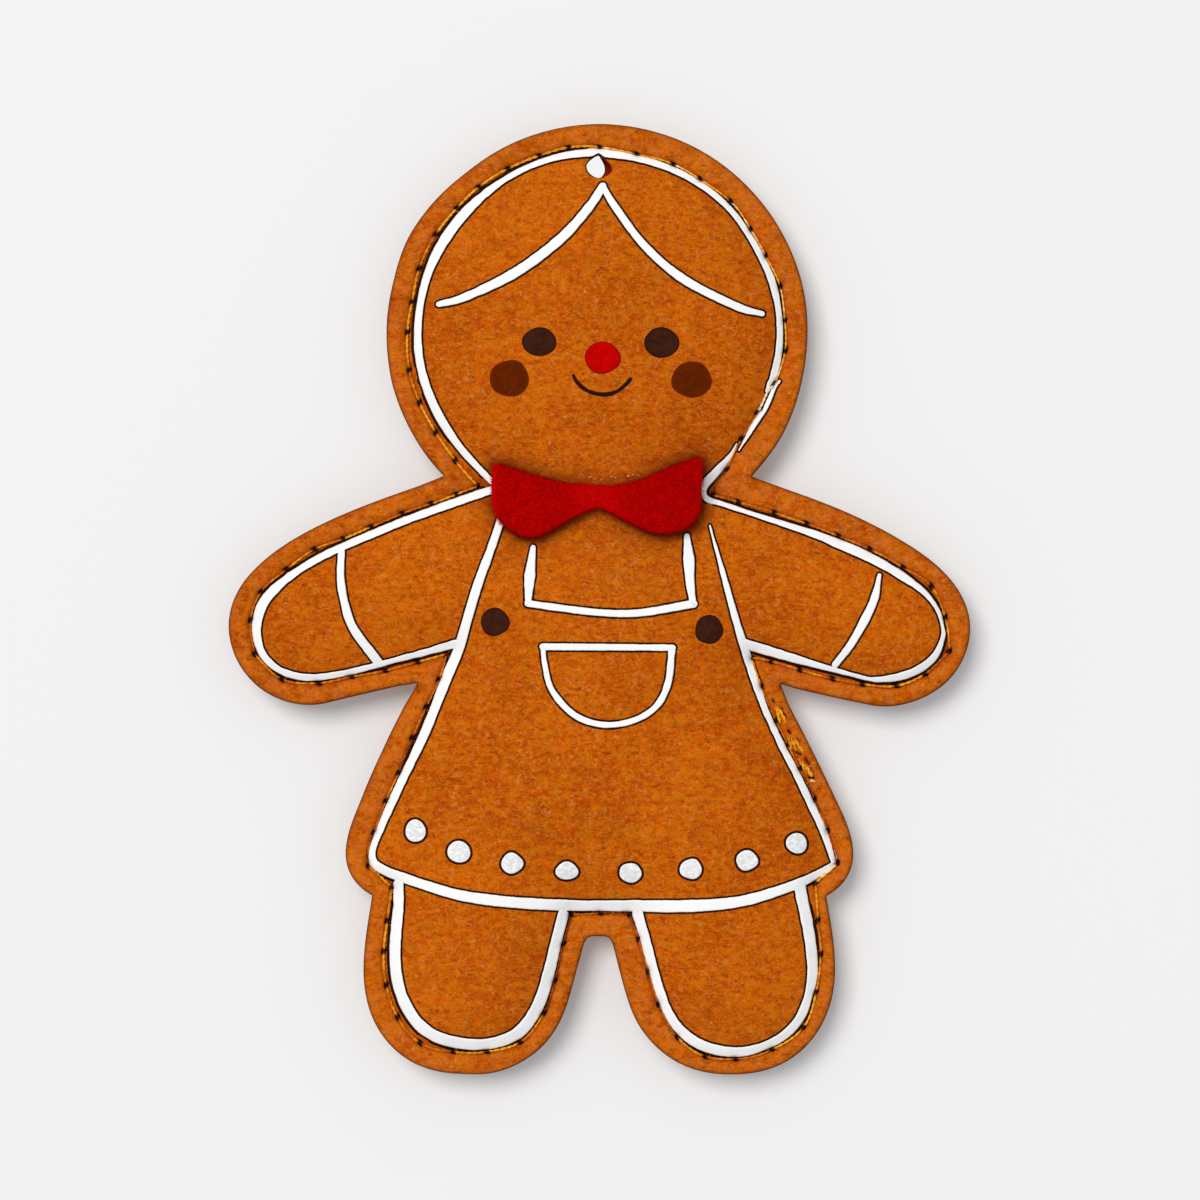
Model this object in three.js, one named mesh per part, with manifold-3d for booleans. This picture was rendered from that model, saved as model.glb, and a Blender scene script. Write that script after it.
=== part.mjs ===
// A flat stuffed hanging ornament in the shape of a gingerbread figure in a pinafore dress.
// Two die-cut felt panels are lockstitched together round a thin pad of filling. The front panel
// carries a raised print: white icing lines, dark features and a red nose. A red felt bow is glued
// on at the neck, and a small tear-shaped hole is punched through the head to hang the figure by.
// Millimetres. +Z points up from the feet to the head, and the printed front faces -Y. The origin
// is in the middle of the hanging hole's height, on the figure's axis, in the plane of the seam.
import * as THREE from "three";
import Module from "manifold-3d";

// Driving dimensions
const figureHeight = 100;
const figureWidth = 77.8;
const holeDrop = 4.7; // from the top of the head down to the hanging hole
const frontPanelThickness = 1.2;
const backPanelThickness = 1.2;
const frontCrown = 3.4; // how far the front would puff out on a very wide figure
const backCrown = 2.8;
const crownReach = 4.5; // how far from the seam the puffing takes most of its height
const backFlatDepth = 0.5; // how much the crown of the back is flattened where it rests
const seamInset = 2.4; // from the cut edge in to the line of stitches
const stitchLength = 3.4;
const threadDiameter = 0.35;
const channelDepth = 0.45; // of the groove that the stitches pull into the felt
const inkThickness = 0.2;
const icingWidth = 1;
const holeRadius = 1.25;
const holeTipRise = 1.5; // from the hole's middle up to the point of the tear
const holeLean = THREE.MathUtils.degToRad(14); // the punched hole slants to the left as it goes back
const bowWidth = 22.2;
const bowHeight = 8.2;
const bowThickness = 1.3;
const bowTilt = THREE.MathUtils.degToRad(-1);
const glueThickness = 0.2; // of glue over the height of the print beside it
const glueWidth = 8;
const glueHeight = 2;
const closingStitches = 3; // stitches sewn a second time beside the first to lock the seam

// Clearances between neighbours
const inkGap = 0.05; // between a printed film, a thread or the glue and what it lies on
const printGap = 0.1; // between a printed spot and the icing line beside it
const fillingGap = 0.35; // between the filling and the felt round it
const grooveSideGap = 0.125; // on each side of a thread in its groove
const besideGap = 0.3; // between the groove and the run of thread sewn beside it

// Fineness of the faceted model
const tiny = 1e-6; // a length that counts as none
const edgePointSpacing = 0.8;
const gridSpacing = 6;
const bowPointSpacing = 1.5;
const cutOverrun = 2;
const clearShare = 0.98; // of an inset's distance, that each of its points has to keep
const bendAllowance = 0.2; // of a stitch, that a side of the cut edge may be longer
const straightLimit = 1e-4; // the sine of the least turn that counts as a corner
const stitchRiseShares = [0.25, 0.75]; // of a stitch, between which the thread lies on top
const nudgeShare = 1e-5; // of the model's reach, by which meshed points are moved
const farShare = 100; // of the model's reach, at which the first triangle's corners lie
const holeSides = 12;
const spotSides = 14;
const clearingPasses = 20;

// The right half of the cut edge, from the top of the head to the crotch, as Bezier curves: two
// handles and an end each, or a straight line's end. Each point is a share of the half width, from
// the axis, and a share of the height, from the soles.
const edgeStartShares = [0, 1];
const edgeShares = {
  headSide: [[0.316, 1], [0.571, 0.904], [0.571, 0.785]],
  neck: [[0.571, 0.728], [0.522, 0.673], [0.426, 0.63]],
  shoulder: [[0.545, 0.613], [0.663, 0.598], [0.782, 0.573]],
  fingers: [[0.9, 0.548], [1, 0.513], [1, 0.47]],
  palm: [[1, 0.42], [0.862, 0.377], [0.728, 0.389]],
  underarm: [[0.501, 0.408]],
  skirtSide: [[0.655, 0.278]],
  hemCorner: [[0.671, 0.265], [0.687, 0.248], [0.687, 0.232]],
  hemNotch: [[0.687, 0.212], [0.658, 0.197], [0.616, 0.188]],
  legSide: [[0.625, 0.164], [0.637, 0.139], [0.637, 0.114]],
  sole: [[0.637, 0.047], [0.528, 0], [0.358, 0]],
  toe: [[0.216, 0], [0.127, 0.034], [0.09, 0.07]],
  innerLeg: [[0.072, 0.087], [0.048, 0.124], [0.04, 0.136]],
  crotch: [[0.035, 0.143], [0.027, 0.146], [0.016, 0.146]],
};

// The drawing on the front, in the same shares
const hairShares = {
  left: [[0.012, 0.933], [-0.026, 0.912], [-0.105, 0.879], [-0.226, 0.844], [-0.43, 0.809]],
  right: [[0.012, 0.933], [0.043, 0.91], [0.122, 0.869], [0.228, 0.834], [0.441, 0.799]],
};
const dressSideShares = {
  left: [[-0.388, 0.453], [-0.353, 0.483], [-0.326, 0.517], [-0.267, 0.58]],
  right: [[0.396, 0.453], [0.372, 0.483], [0.344, 0.52], [0.3, 0.575]],
};
const hemShares = {
  left: [[-0.406, 0.191], [-0.265, 0.181], [-0.12, 0.178]],
  right: [[0.403, 0.187], [0.268, 0.179], [0.12, 0.178]],
};
const cuffShares = {
  left: [[-0.692, 0.55], [-0.683, 0.496], [-0.594, 0.435]],
  right: [[0.757, 0.53], [0.719, 0.48], [0.637, 0.431]],
};
const bibShares = {
  leftStrap: [[-0.176, 0.554], [-0.185, 0.525], [-0.19, 0.494]],
  chest: [[-0.19, 0.494], [-0.126, 0.491], [0.004, 0.486], [0.112, 0.486], [0.255, 0.495]],
  rightStrap: [[0.255, 0.495], [0.251, 0.517], [0.238, 0.566]],
};
const pocketShares = {
  top: [[-0.15, 0.45], [0.2, 0.449]],
  bag: [[-0.146, 0.45], [-0.123, 0.405], [-0.063, 0.38], [0.012, 0.37], [0.09, 0.374],
    [0.152, 0.388], [0.187, 0.412], [0.197, 0.449]],
};
const smileShares = [[-0.067, 0.735], [-0.047, 0.723], [0.011, 0.715], [0.063, 0.721], [0.085, 0.732]];
const hemDotShares = [[-0.493, 0.257], [-0.376, 0.235], [-0.233, 0.223], [-0.085, 0.215],
  [0.086, 0.213], [0.249, 0.217], [0.4, 0.226], [0.534, 0.244]];
const eyeShares = { left: [-0.16, 0.771], right: [0.17, 0.769] };
const cheekShares = { left: [-0.24, 0.732], right: [0.251, 0.73] };
const buttonShares = { left: [-0.279, 0.476], right: [0.298, 0.468] };
const noseShares = [0.011, 0.753];
const bowShares = [0, 0.606];
const closingShares = [0.46, 0.4]; // where the seam starts and is sewn over

// The print's own sizes
const hemDotWidth = 2.4;
const hemDotHeight = 2.2;
const eyeWidth = 3.6;
const eyeHeight = 3.1;
const cheekWidth = 4.2;
const cheekHeight = 3.9;
const noseWidth = 3.7;
const noseHeight = 3.4;
const buttonDiameter = 3;
const smileWidth = 0.45;

// The right half of the bow, clockwise from the middle of its top edge, as shares of its half width
// and half height from its middle.
const bowStartShares = [0, 0.4];
const bowHalfShares = [
  [[0.42, 0.4], [0.66, 0.96], [0.91, 0.96]],
  [[0.97, 0.96], [1, 0.88], [1, 0.72]],
  [[1, 0.4], [0.99, 0.06], [0.98, -0.19]],
  [[0.96, -0.66], [0.85, -0.97], [0.68, -0.97]],
  [[0.47, -0.97], [0.28, -0.65], [0.13, -0.42]],
  [[0.08, -0.34], [0.04, -0.31], [0, -0.31]],
];

const bowRestShares = [-1, -0.5, 0, 0.5, 1]; // heights at which the bow may touch the crown

// Worked-out sizes
const halfWidth = figureWidth / 2;
const soleZ = holeDrop - figureHeight;
const threadRadius = threadDiameter / 2;
const channelWidth = threadDiameter + 2 * grooveSideGap;
const crownInset = seamInset + channelWidth / 2;
const icingInset = crownInset + icingWidth / 2;
const shoulderInset = crownInset + icingWidth;
const secondRunOffset = channelWidth / 2 + threadRadius + besideGap;
const bowLift = inkThickness + glueThickness;

const colours = {
  felt: { color: "#be5d0b", roughness: 0.9 },
  filling: { color: "#efebe2", roughness: 1 },
  thread: { color: "#b9781f", roughness: 0.6 },
  white: { color: "#fbfbfa", roughness: 0.6 },
  darkBrown: { color: "#3d2015", roughness: 0.7 },
  cheek: { color: "#5c1f03", roughness: 0.8 },
  red: { color: "#bf0301", roughness: 0.7 },
  redFelt: { color: "#a60301", roughness: 0.95 },
  glue: { color: "#e6dcc4", roughness: 0.5 },
};

const wasm = await Module();
wasm.setup();

const ornament = new THREE.Group();

// A point of the figure from its shares.
function place([across, up]) {
  return new THREE.Vector2(across * halfWidth, soleZ + up * figureHeight);
}

// A closed half outline mirrored in the axis: the first and last points lie on it.
function mirrored(half) {
  const inside = half.slice(1, half[half.length - 1].x === 0 ? -1 : undefined);
  return [...half, ...inside.reverse().map((p) => new THREE.Vector2(-p.x, p.y))];
}

// A half outline as points about one step apart, through Bezier curves and straight lines.
function halfOutline(startShares, curves, toPoint, step) {
  const points = [toPoint(startShares)];
  const ends = {};
  for (const [name, shares] of Object.entries(curves)) {
    const from = points[points.length - 1];
    const through = shares.map(toPoint);
    const curve = through.length === 1
      ? new THREE.LineCurve(from, through[0])
      : new THREE.CubicBezierCurve(from, ...through);
    const pieces = Math.max(2, Math.ceil(curve.getLength() / step));
    points.push(...curve.getSpacedPoints(pieces).slice(1));
    ends[name] = points.length - 1;
  }
  return { points, ends };
}

// A clockwise loop's points moved inwards by a distance, with sharp corners kept sharp.
function movedInwards(loop, distance) {
  return loop.map((p, i) => {
    const before = loop[(i + loop.length - 1) % loop.length];
    const after = loop[(i + 1) % loop.length];
    const a = p.clone().sub(before).normalize();
    const b = after.clone().sub(p).normalize();
    const towards = new THREE.Vector2(a.y + b.y, -(a.x + b.x));
    const sharpness = 1 + a.dot(b);
    return p.clone().addScaledVector(towards, distance / sharpness);
  });
}

function isInside(loop, p) {
  let inside = false;
  loop.forEach((a, i) => {
    const b = loop[(i + 1) % loop.length];
    if (a.y > p.y !== b.y > p.y && p.x < a.x + ((p.y - a.y) * (b.x - a.x)) / (b.y - a.y)) {
      inside = !inside;
    }
  });
  return inside;
}

function nearestOnLoop(loop, p) {
  let best = null;
  loop.forEach((a, i) => {
    const side = loop[(i + 1) % loop.length].clone().sub(a);
    const along = THREE.MathUtils.clamp(p.clone().sub(a).dot(side) / side.lengthSq(), 0, 1);
    const point = a.clone().addScaledVector(side, along);
    const distance = point.distanceTo(p);
    if (!best || distance < best.distance) best = { point, distance };
  });
  return best;
}

// A soft distance in from a loop: near an edge it is the distance to that edge, and across a limb
// it rounds over with no ridge. It is pi over the integral, along the loop, of one over the square
// of the distance.
function softDistance(loop, p) {
  let sum = 0;
  loop.forEach((a, i) => {
    const b = loop[(i + 1) % loop.length];
    const length = a.distanceTo(b);
    const ux = (b.x - a.x) / length;
    const uy = (b.y - a.y) / length;
    const from = (a.x - p.x) * ux + (a.y - p.y) * uy;
    const to = from + length;
    const off = Math.abs((a.x - p.x) * uy - (a.y - p.y) * ux);
    sum += off > tiny
      ? (Math.atan(to / off) - Math.atan(from / off)) / off
      : Math.abs(1 / from - 1 / to);
  });
  return Math.PI / sum;
}

// How far the stuffed felt stands out of the seam's plane at a point.
function crownAt(p, crown, limit = Infinity) {
  if (!isInside(crownLoop, p)) return 0;
  const height = crown * (1 - Math.exp(-softDistance(crownLoop, p) / crownReach));
  return Math.min(height, limit);
}

// Delaunay triangles of points, by adding one point at a time.
// They are nudged by a hair first, so that no four lie on one circle, and the same point always
// by the same hair, so that sheets that share points share triangles.
function delaunay(points) {
  const reach = Math.max(...points.map((p) => Math.abs(p.x) + Math.abs(p.y)));
  const far = farShare * reach;
  const hair = nudgeShare * reach;
  const nudged = points.map((p) => {
    const turn = (p.x * 3 + p.y * 5) / hair;
    return new THREE.Vector2(p.x + hair * Math.sin(turn), p.y + hair * Math.cos(turn));
  });
  const all = [...nudged, new THREE.Vector2(-far, -far), new THREE.Vector2(far, -far),
    new THREE.Vector2(0, far)];
  const circled = (a, b, c) => {
    const [p, q, r] = [all[a], all[b], all[c]];
    const d = 2 * (p.x * (q.y - r.y) + q.x * (r.y - p.y) + r.x * (p.y - q.y));
    const [pp, qq, rr] = [p.lengthSq(), q.lengthSq(), r.lengthSq()];
    const x = (pp * (q.y - r.y) + qq * (r.y - p.y) + rr * (p.y - q.y)) / d;
    const y = (pp * (r.x - q.x) + qq * (p.x - r.x) + rr * (q.x - p.x)) / d;
    return { corners: [a, b, c], x, y, radiusSq: (p.x - x) ** 2 + (p.y - y) ** 2 };
  };
  const n = points.length;
  let triangles = [circled(n, n + 1, n + 2)];
  nudged.forEach((p, added) => {
    const hit = (t) => (p.x - t.x) ** 2 + (p.y - t.y) ** 2 < t.radiusSq;
    const edges = new Map();
    for (const t of triangles.filter(hit)) {
      t.corners.forEach((a, i) => {
        const b = t.corners[(i + 1) % 3];
        if (!edges.delete(`${b},${a}`)) edges.set(`${a},${b}`, [a, b]);
      });
    }
    triangles = triangles.filter((t) => !hit(t));
    for (const [a, b] of edges.values()) triangles.push(circled(a, b, added));
  });
  return triangles.map((t) => t.corners).filter((t) => t.every((i) => i < n));
}

// A flat mesh inside a loop, of the loop's own points and some more, with no triangle outside it.
function filled(loop, inner) {
  const points = [...loop, ...inner];
  const triangles = delaunay(points).filter(([a, b, c]) => {
    const middle = points[a].clone().add(points[b]).add(points[c]).divideScalar(3);
    return isInside(loop, middle);
  });
  return { points, triangles, rim: loop.length };
}

// A flat mesh of loops one inside the next, joined in strips, whose last one is filled. Each loop
// has points and the places round the figure that they belong to.
function sheetOf(loops, inner) {
  const centre = filled(loops[loops.length - 1].points, inner);
  const outer = loops.slice(0, -1);
  const points = [...outer.flatMap((loop) => loop.points), ...centre.points];
  const triangles = [];
  let start = 0;
  outer.forEach((loop, i) => {
    const next = loops[i + 1];
    triangles.push(...strip(loop.places, start, next.places, start + loop.places.length));
    start += loop.places.length;
  });
  triangles.push(...centre.triangles.map((corners) => corners.map((corner) => corner + start)));
  return { points, triangles, rim: loops[0].points.length };
}

// Triangles between two loops, by going round both and stepping on along the one that lags.
function strip(outer, outerStart, inner, innerStart) {
  const triangles = [];
  let i = 0;
  let j = 0;
  while (i < outer.length || j < inner.length) {
    const a = outerStart + (i % outer.length);
    const b = innerStart + (j % inner.length);
    const lag = (outer[i + 1] ?? Infinity) - (inner[j + 1] ?? Infinity);
    if (j === inner.length || (i < outer.length && !(lag > 0))) {
      i += 1;
      triangles.push([a, outerStart + (i % outer.length), b]);
    } else {
      j += 1;
      triangles.push([a, innerStart + (j % inner.length), b]);
    }
  }
  return triangles;
}

// Points of a staggered grid that lie at least a margin inside a loop.
function gridInside(loop, step, margin) {
  const box = new THREE.Box2().setFromPoints(loop);
  const found = [];
  const rowStep = (step * Math.sqrt(3)) / 2;
  const rows = Math.ceil((box.max.y - box.min.y) / rowStep);
  const columns = Math.ceil(box.max.x / step);
  for (let row = 0; row < rows; row++) {
    for (let column = -columns; column <= columns; column++) {
      const shift = (row % 2) / 2;
      const p = new THREE.Vector2((column + shift) * step, box.min.y + row * rowStep);
      if (isInside(loop, p) && nearestOnLoop(loop, p).distance > margin) found.push(p);
    }
  }
  return found;
}

// A closed body between two sheets with one outline. Each sheet is a flat mesh and a function that
// gives y at a point and its index. The front sheet has the lower y.
function bodyBetween(front, frontY, back, backY) {
  const vertices = [];
  front.points.forEach((p, i) => vertices.push(p.x, frontY(p, i), p.y));
  back.points.forEach((p, i) => vertices.push(p.x, backY(p, i), p.y));
  const shift = front.points.length;
  const facing = ([a, b, c], points) => {
    const turn = points[b].clone().sub(points[a]).cross(points[c].clone().sub(points[a]));
    return turn > 0 ? [a, b, c] : [a, c, b];
  };
  const faces = front.triangles.map((t) => facing(t, front.points));
  for (const t of back.triangles) {
    const [a, b, c] = facing(t, back.points);
    faces.push([a + shift, c + shift, b + shift]);
  }
  for (let i = 0; i < front.rim; i++) {
    const next = (i + 1) % front.rim;
    faces.push([i, next, next + shift], [i, next + shift, i + shift]);
  }
  return new THREE.BufferGeometry()
    .setAttribute("position", new THREE.Float32BufferAttribute(vertices, 3))
    .setIndex(faces.flat());
}

// An outline's prism between two y levels. Points along a straight stretch are left out first.
function prism(outline, frontY, backY) {
  const turning = outline.filter((p, i) => {
    const before = outline[(i + outline.length - 1) % outline.length];
    const after = outline[(i + 1) % outline.length];
    const turn = p.clone().sub(before).normalize().cross(after.clone().sub(p).normalize());
    return Math.abs(turn) > straightLimit;
  });
  const points = THREE.ShapeUtils.isClockWise(turning) ? turning : turning.reverse();
  const triangles = THREE.ShapeUtils.triangulateShape(points, []);
  const flat = { points, triangles, rim: points.length };
  return bodyBetween(flat, () => frontY, flat, () => backY);
}

function toSolid(geometry) {
  const mesh = new wasm.Mesh({
    numProp: 3,
    vertProperties: new Float32Array(geometry.getAttribute("position").array),
    triVerts: new Uint32Array(geometry.index.array),
  });
  return new wasm.Manifold(mesh);
}

function toGeometry(solid) {
  const { vertProperties, triVerts } = solid.getMesh();
  return new THREE.BufferGeometry()
    .setAttribute("position", new THREE.BufferAttribute(vertProperties, 3))
    .setIndex(new THREE.BufferAttribute(triVerts, 1));
}

function addPiece(name, geometry, finish) {
  geometry.computeVertexNormals();
  const material = new THREE.MeshStandardMaterial({ metalness: 0, flatShading: true, ...finish });
  const mesh = new THREE.Mesh(geometry, material);
  mesh.name = name;
  ornament.add(mesh);
}

// Loops that the cut edge gives. A loop's place is a number: a vertex of the fine cut edge and a
// part of the way to the next one. Every needle hole has a place, and each loop further in or out
// takes its points at those same places.
const half = halfOutline(edgeStartShares, edgeShares, place, edgePointSpacing);
const fineEdge = mirrored(half.points);

function pointAt(loop, where) {
  const i = Math.floor(where);
  return loop[i % loop.length].clone().lerp(loop[(i + 1) % loop.length], where - i);
}

// Places of the needle holes: a whole number of even stitches from each inner corner to the next.
function needlePlaces() {
  const course = movedInwards(fineEdge, seamInset);
  const right = ["neck", "underarm", "hemNotch"].map((name) => half.ends[name]);
  const corners = [...right, ...right.map((i) => course.length - i).reverse()];
  return corners.flatMap((from, c) => {
    const to = corners[(c + 1) % corners.length];
    const steps = (to - from + course.length) % course.length;
    const run = [0];
    for (let i = 0; i < steps; i++) {
      run.push(run[i] + pointAt(course, from + i).distanceTo(pointAt(course, from + i + 1)));
    }
    const stitches = Math.max(1, Math.round(run[steps] / stitchLength));
    const places = [];
    let i = 0;
    for (let stitch = 0; stitch < stitches; stitch++) {
      const distance = (stitch / stitches) * run[steps];
      while (run[i + 1] <= distance) i++;
      places.push(from + i + (distance - run[i]) / (run[i + 1] - run[i]));
    }
    return places;
  });
}

// Places without those where a tight bend would fold the inmost loop over.
const needles = needlePlaces().filter((where) => {
  const p = pointAt(movedInwards(fineEdge, shoulderInset), where);
  return nearestOnLoop(fineEdge, p).distance > clearShare * shoulderInset;
});

function inset(distance) {
  const moved = movedInwards(fineEdge, distance);
  return needles.map((where) => pointAt(moved, where));
}

// The cut edge's places: the needles', the ends of its curves, and more where it goes a long way
// round a bend.
function edgePlaces() {
  const round = fineEdge.length;
  const ends = [0, ...Object.values(half.ends)].flatMap((i) => [i, round - i]);
  const turned = ends.map((i) => (i < needles[0] ? i + round : i));
  const stops = [...new Set([...needles, ...turned])].sort((a, b) => a - b);
  return stops.flatMap((where, i) => {
    const next = stops[i + 1] ?? stops[0] + round;
    const chord = pointAt(fineEdge, where).distanceTo(pointAt(fineEdge, next));
    const pieces = Math.max(1, Math.ceil(chord / stitchLength - bendAllowance));
    return Array.from({ length: pieces }, (_, k) => where + (k / pieces) * (next - where));
  });
}

const cutEdge = edgePlaces();
const edgeLoop = cutEdge.map((where) => pointAt(fineEdge, where));
const grooveOuterLoop = inset(seamInset - channelWidth / 2);
const seamLoop = inset(seamInset);
const crownLoop = inset(crownInset);
const icingLoop = inset(icingInset);
const shoulderLoop = inset(shoulderInset);

const crownGrid = gridInside(shoulderLoop, gridSpacing, gridSpacing / 2);
const edge = { points: edgeLoop, places: cutEdge };
const [groove, seam, crown, shoulder] = [grooveOuterLoop, seamLoop, crownLoop, shoulderLoop].map(
  (points) => ({ points, places: needles }));
const outerSheet = sheetOf([edge, groove, seam, crown, shoulder], crownGrid);
const innerSheet = sheetOf([edge, crown, shoulder], crownGrid);
const fillingSheet = filled(shoulderLoop, crownGrid);
const seamStart = edgeLoop.length + grooveOuterLoop.length;
const seamEnd = seamStart + seamLoop.length;

// How far the outer face of a felt panel lies from the plane between the panels: the felt's own
// thickness, the crown inside the seam, and the dip along the bottom of the stitches' groove.
function outerLift(p, i, thickness, crown, limit) {
  const dip = i >= seamStart && i < seamEnd ? channelDepth : 0;
  return thickness + crownAt(p, crown, limit) - dip;
}

// The back's crown is pressed flat where it rests.
const widestCrown = Math.max(...crownGrid.map((p) => crownAt(p, backCrown)));
const backLimit = widestCrown - backFlatDepth;

function frontSurface(p, i = -1) {
  return -outerLift(p, i, frontPanelThickness, frontCrown);
}

function backSurface(p, i = -1) {
  return outerLift(p, i, backPanelThickness, backCrown, backLimit);
}

// The hanging hole: a tear with its point up, cut through every layer. Its mouth in the front is on
// the figure's axis.
function holeTool() {
  const loop = [];
  for (let i = 0; i < holeSides; i++) {
    const angle = (i / holeSides) * 2 * Math.PI;
    const tip = Math.max(0, Math.cos(angle)) ** 3 * (holeTipRise - holeRadius);
    loop.push(new THREE.Vector2(holeRadius * Math.sin(angle), holeRadius * Math.cos(angle) + tip));
  }
  const depth = frontPanelThickness + frontCrown + cutOverrun;
  const lean = new THREE.Matrix4().makeShear(0, 0, -Math.tan(holeLean), 0, 0, 0);
  const mouthed = new THREE.Matrix4().makeTranslation(0, -frontPanelThickness, 0).multiply(lean);
  return toSolid(prism(loop, -depth, depth).applyMatrix4(mouthed));
}

const hole = holeTool();

function feltPanel(side) {
  const panel = side === "front"
    ? bodyBetween(outerSheet, frontSurface, innerSheet, (p) => -crownAt(p, frontCrown))
    : bodyBetween(innerSheet, (p) => crownAt(p, backCrown, backLimit), outerSheet, backSurface);
  return toGeometry(toSolid(panel).subtract(hole));
}

function fillingPad() {
  const front = (p) => fillingGap - crownAt(p, frontCrown);
  const back = (p) => crownAt(p, backCrown, backLimit) - fillingGap;
  return toGeometry(toSolid(bodyBetween(fillingSheet, front, fillingSheet, back)).subtract(hole));
}

// A film of even thickness that follows the front, cut to the union of some prisms.
function film(outlines, thickness, alsoCut = []) {
  const lowest = (p) => frontSurface(p) - inkGap;
  const blank = bodyBetween(innerSheet, (p) => lowest(p) - thickness, innerSheet, lowest);
  const depth = frontPanelThickness + frontCrown + thickness + cutOverrun;
  const cutter = (outline) => toSolid(prism(outline, -depth, 0));
  const wanted = wasm.Manifold.union(outlines.map(cutter));
  const left = alsoCut.reduce((solid, tool) => solid.subtract(tool), wanted);
  return toSolid(blank).intersect(left);
}

// The outline of a drawn line of one width, with blunt rounded ends.
function stroke(points, width) {
  const route = points.length > 2
    ? new THREE.SplineCurve(points).getSpacedPoints(2 * points.length)
    : points;
  const sides = { left: [], right: [] };
  route.forEach((p, i) => {
    const before = route[Math.max(i - 1, 0)];
    const after = route[Math.min(i + 1, route.length - 1)];
    const along = after.clone().sub(before).normalize();
    const across = new THREE.Vector2(-along.y, along.x).multiplyScalar(width / 2);
    sides.left.push(p.clone().add(across));
    sides.right.unshift(p.clone().sub(across));
  });
  const tip = (at, other) => {
    const outwards = at.clone().sub(other).normalize().multiplyScalar(width / 3);
    return at.clone().add(outwards);
  };
  const start = tip(route[0], route[1]);
  const end = tip(route[route.length - 1], route[route.length - 2]);
  return [...sides.left, end, ...sides.right, start];
}

function ellipse(middle, width, height) {
  const round = new THREE.EllipseCurve(middle.x, middle.y, width / 2, height / 2);
  return round.getPoints(spotSides).slice(0, spotSides);
}

// A printed spot's outline. On a small or narrow figure its middle moves away from the icing, so
// that it keeps its gap from each line.
function spot(shares, width, height) {
  const middle = place(shares);
  const needed = Math.max(width, height) / 2 + printGap;
  for (let pass = 0; pass < clearingPasses; pass++) {
    for (const loop of [shoulderLoop, ...icingStrokes]) {
      const near = nearestOnLoop(loop, middle);
      if (near.distance < needed) {
        middle.sub(near.point).multiplyScalar(needed / near.distance).add(near.point);
      }
    }
  }
  return ellipse(middle, width, height);
}

// The lines of icing that join the one round the figure: the dress's sides up to the bow, the hem
// and the cuffs.
function joiningStrokes() {
  return ["left", "right"].flatMap((side) => {
    const dressSide = dressSideShares[side].map(place);
    const hem = hemShares[side].map(place);
    const cuff = cuffShares[side].map(place);
    return [
      [onIcing(dressSide[0]), ...dressSide],
      [icingCorner("hemNotch", side), ...hem, onIcing(hem[hem.length - 1])],
      [onIcing(cuff[0]), ...cuff.slice(1, -1), onIcing(cuff[cuff.length - 1])],
    ].map((points) => stroke(points, icingWidth));
  });
}

// The point on the icing's middle line at a named corner of the cut edge, on the right or the left.
function icingCorner(name, side) {
  const index = half.ends[name];
  const points = movedInwards(fineEdge, icingInset);
  return points[side === "right" ? index : points.length - index];
}

function onIcing(p) {
  return nearestOnLoop(icingLoop, p).point;
}

const icingStrokes = joiningStrokes();

// The white line that runs round inside the seam, with what joins it.
function icingOutline() {
  const depth = frontPanelThickness + frontCrown + inkThickness + 2 * cutOverrun;
  const inside = toSolid(prism(shoulderLoop, -depth, cutOverrun));
  const band = film([crownLoop], inkThickness, [inside, hole]);
  const joined = film(icingStrokes, inkThickness, [hole]);
  return toGeometry(band.add(joined));
}

function addPrint() {
  const drawn = (parts, width) => {
    const outlines = parts.map((shares) => stroke(shares.map(place), width));
    return toGeometry(film(outlines, inkThickness));
  };
  const dot = (shares, width, height) => toGeometry(film([spot(shares, width, height)], inkThickness));
  addPiece("icing_outline", icingOutline(), colours.white);
  addPiece("hair_parting", drawn(Object.values(hairShares), icingWidth), colours.white);
  addPiece("bib_line", drawn(Object.values(bibShares), icingWidth), colours.white);
  addPiece("pocket_line", drawn(Object.values(pocketShares), icingWidth), colours.white);
  hemDotShares.forEach((shares, i) => {
    addPiece(`hem_dot_${i + 1}`, dot(shares, hemDotWidth, hemDotHeight), colours.white);
  });
  for (const side of ["left", "right"]) {
    addPiece(`${side}_eye`, dot(eyeShares[side], eyeWidth, eyeHeight), colours.darkBrown);
    addPiece(`${side}_cheek`, dot(cheekShares[side], cheekWidth, cheekHeight), colours.cheek);
    const button = dot(buttonShares[side], buttonDiameter, buttonDiameter);
    addPiece(`${side}_strap_button`, button, colours.darkBrown);
  }
  addPiece("nose", dot(noseShares, noseWidth, noseHeight), colours.red);
  addPiece("smile", drawn([smileShares], smileWidth), colours.darkBrown);
}

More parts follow.
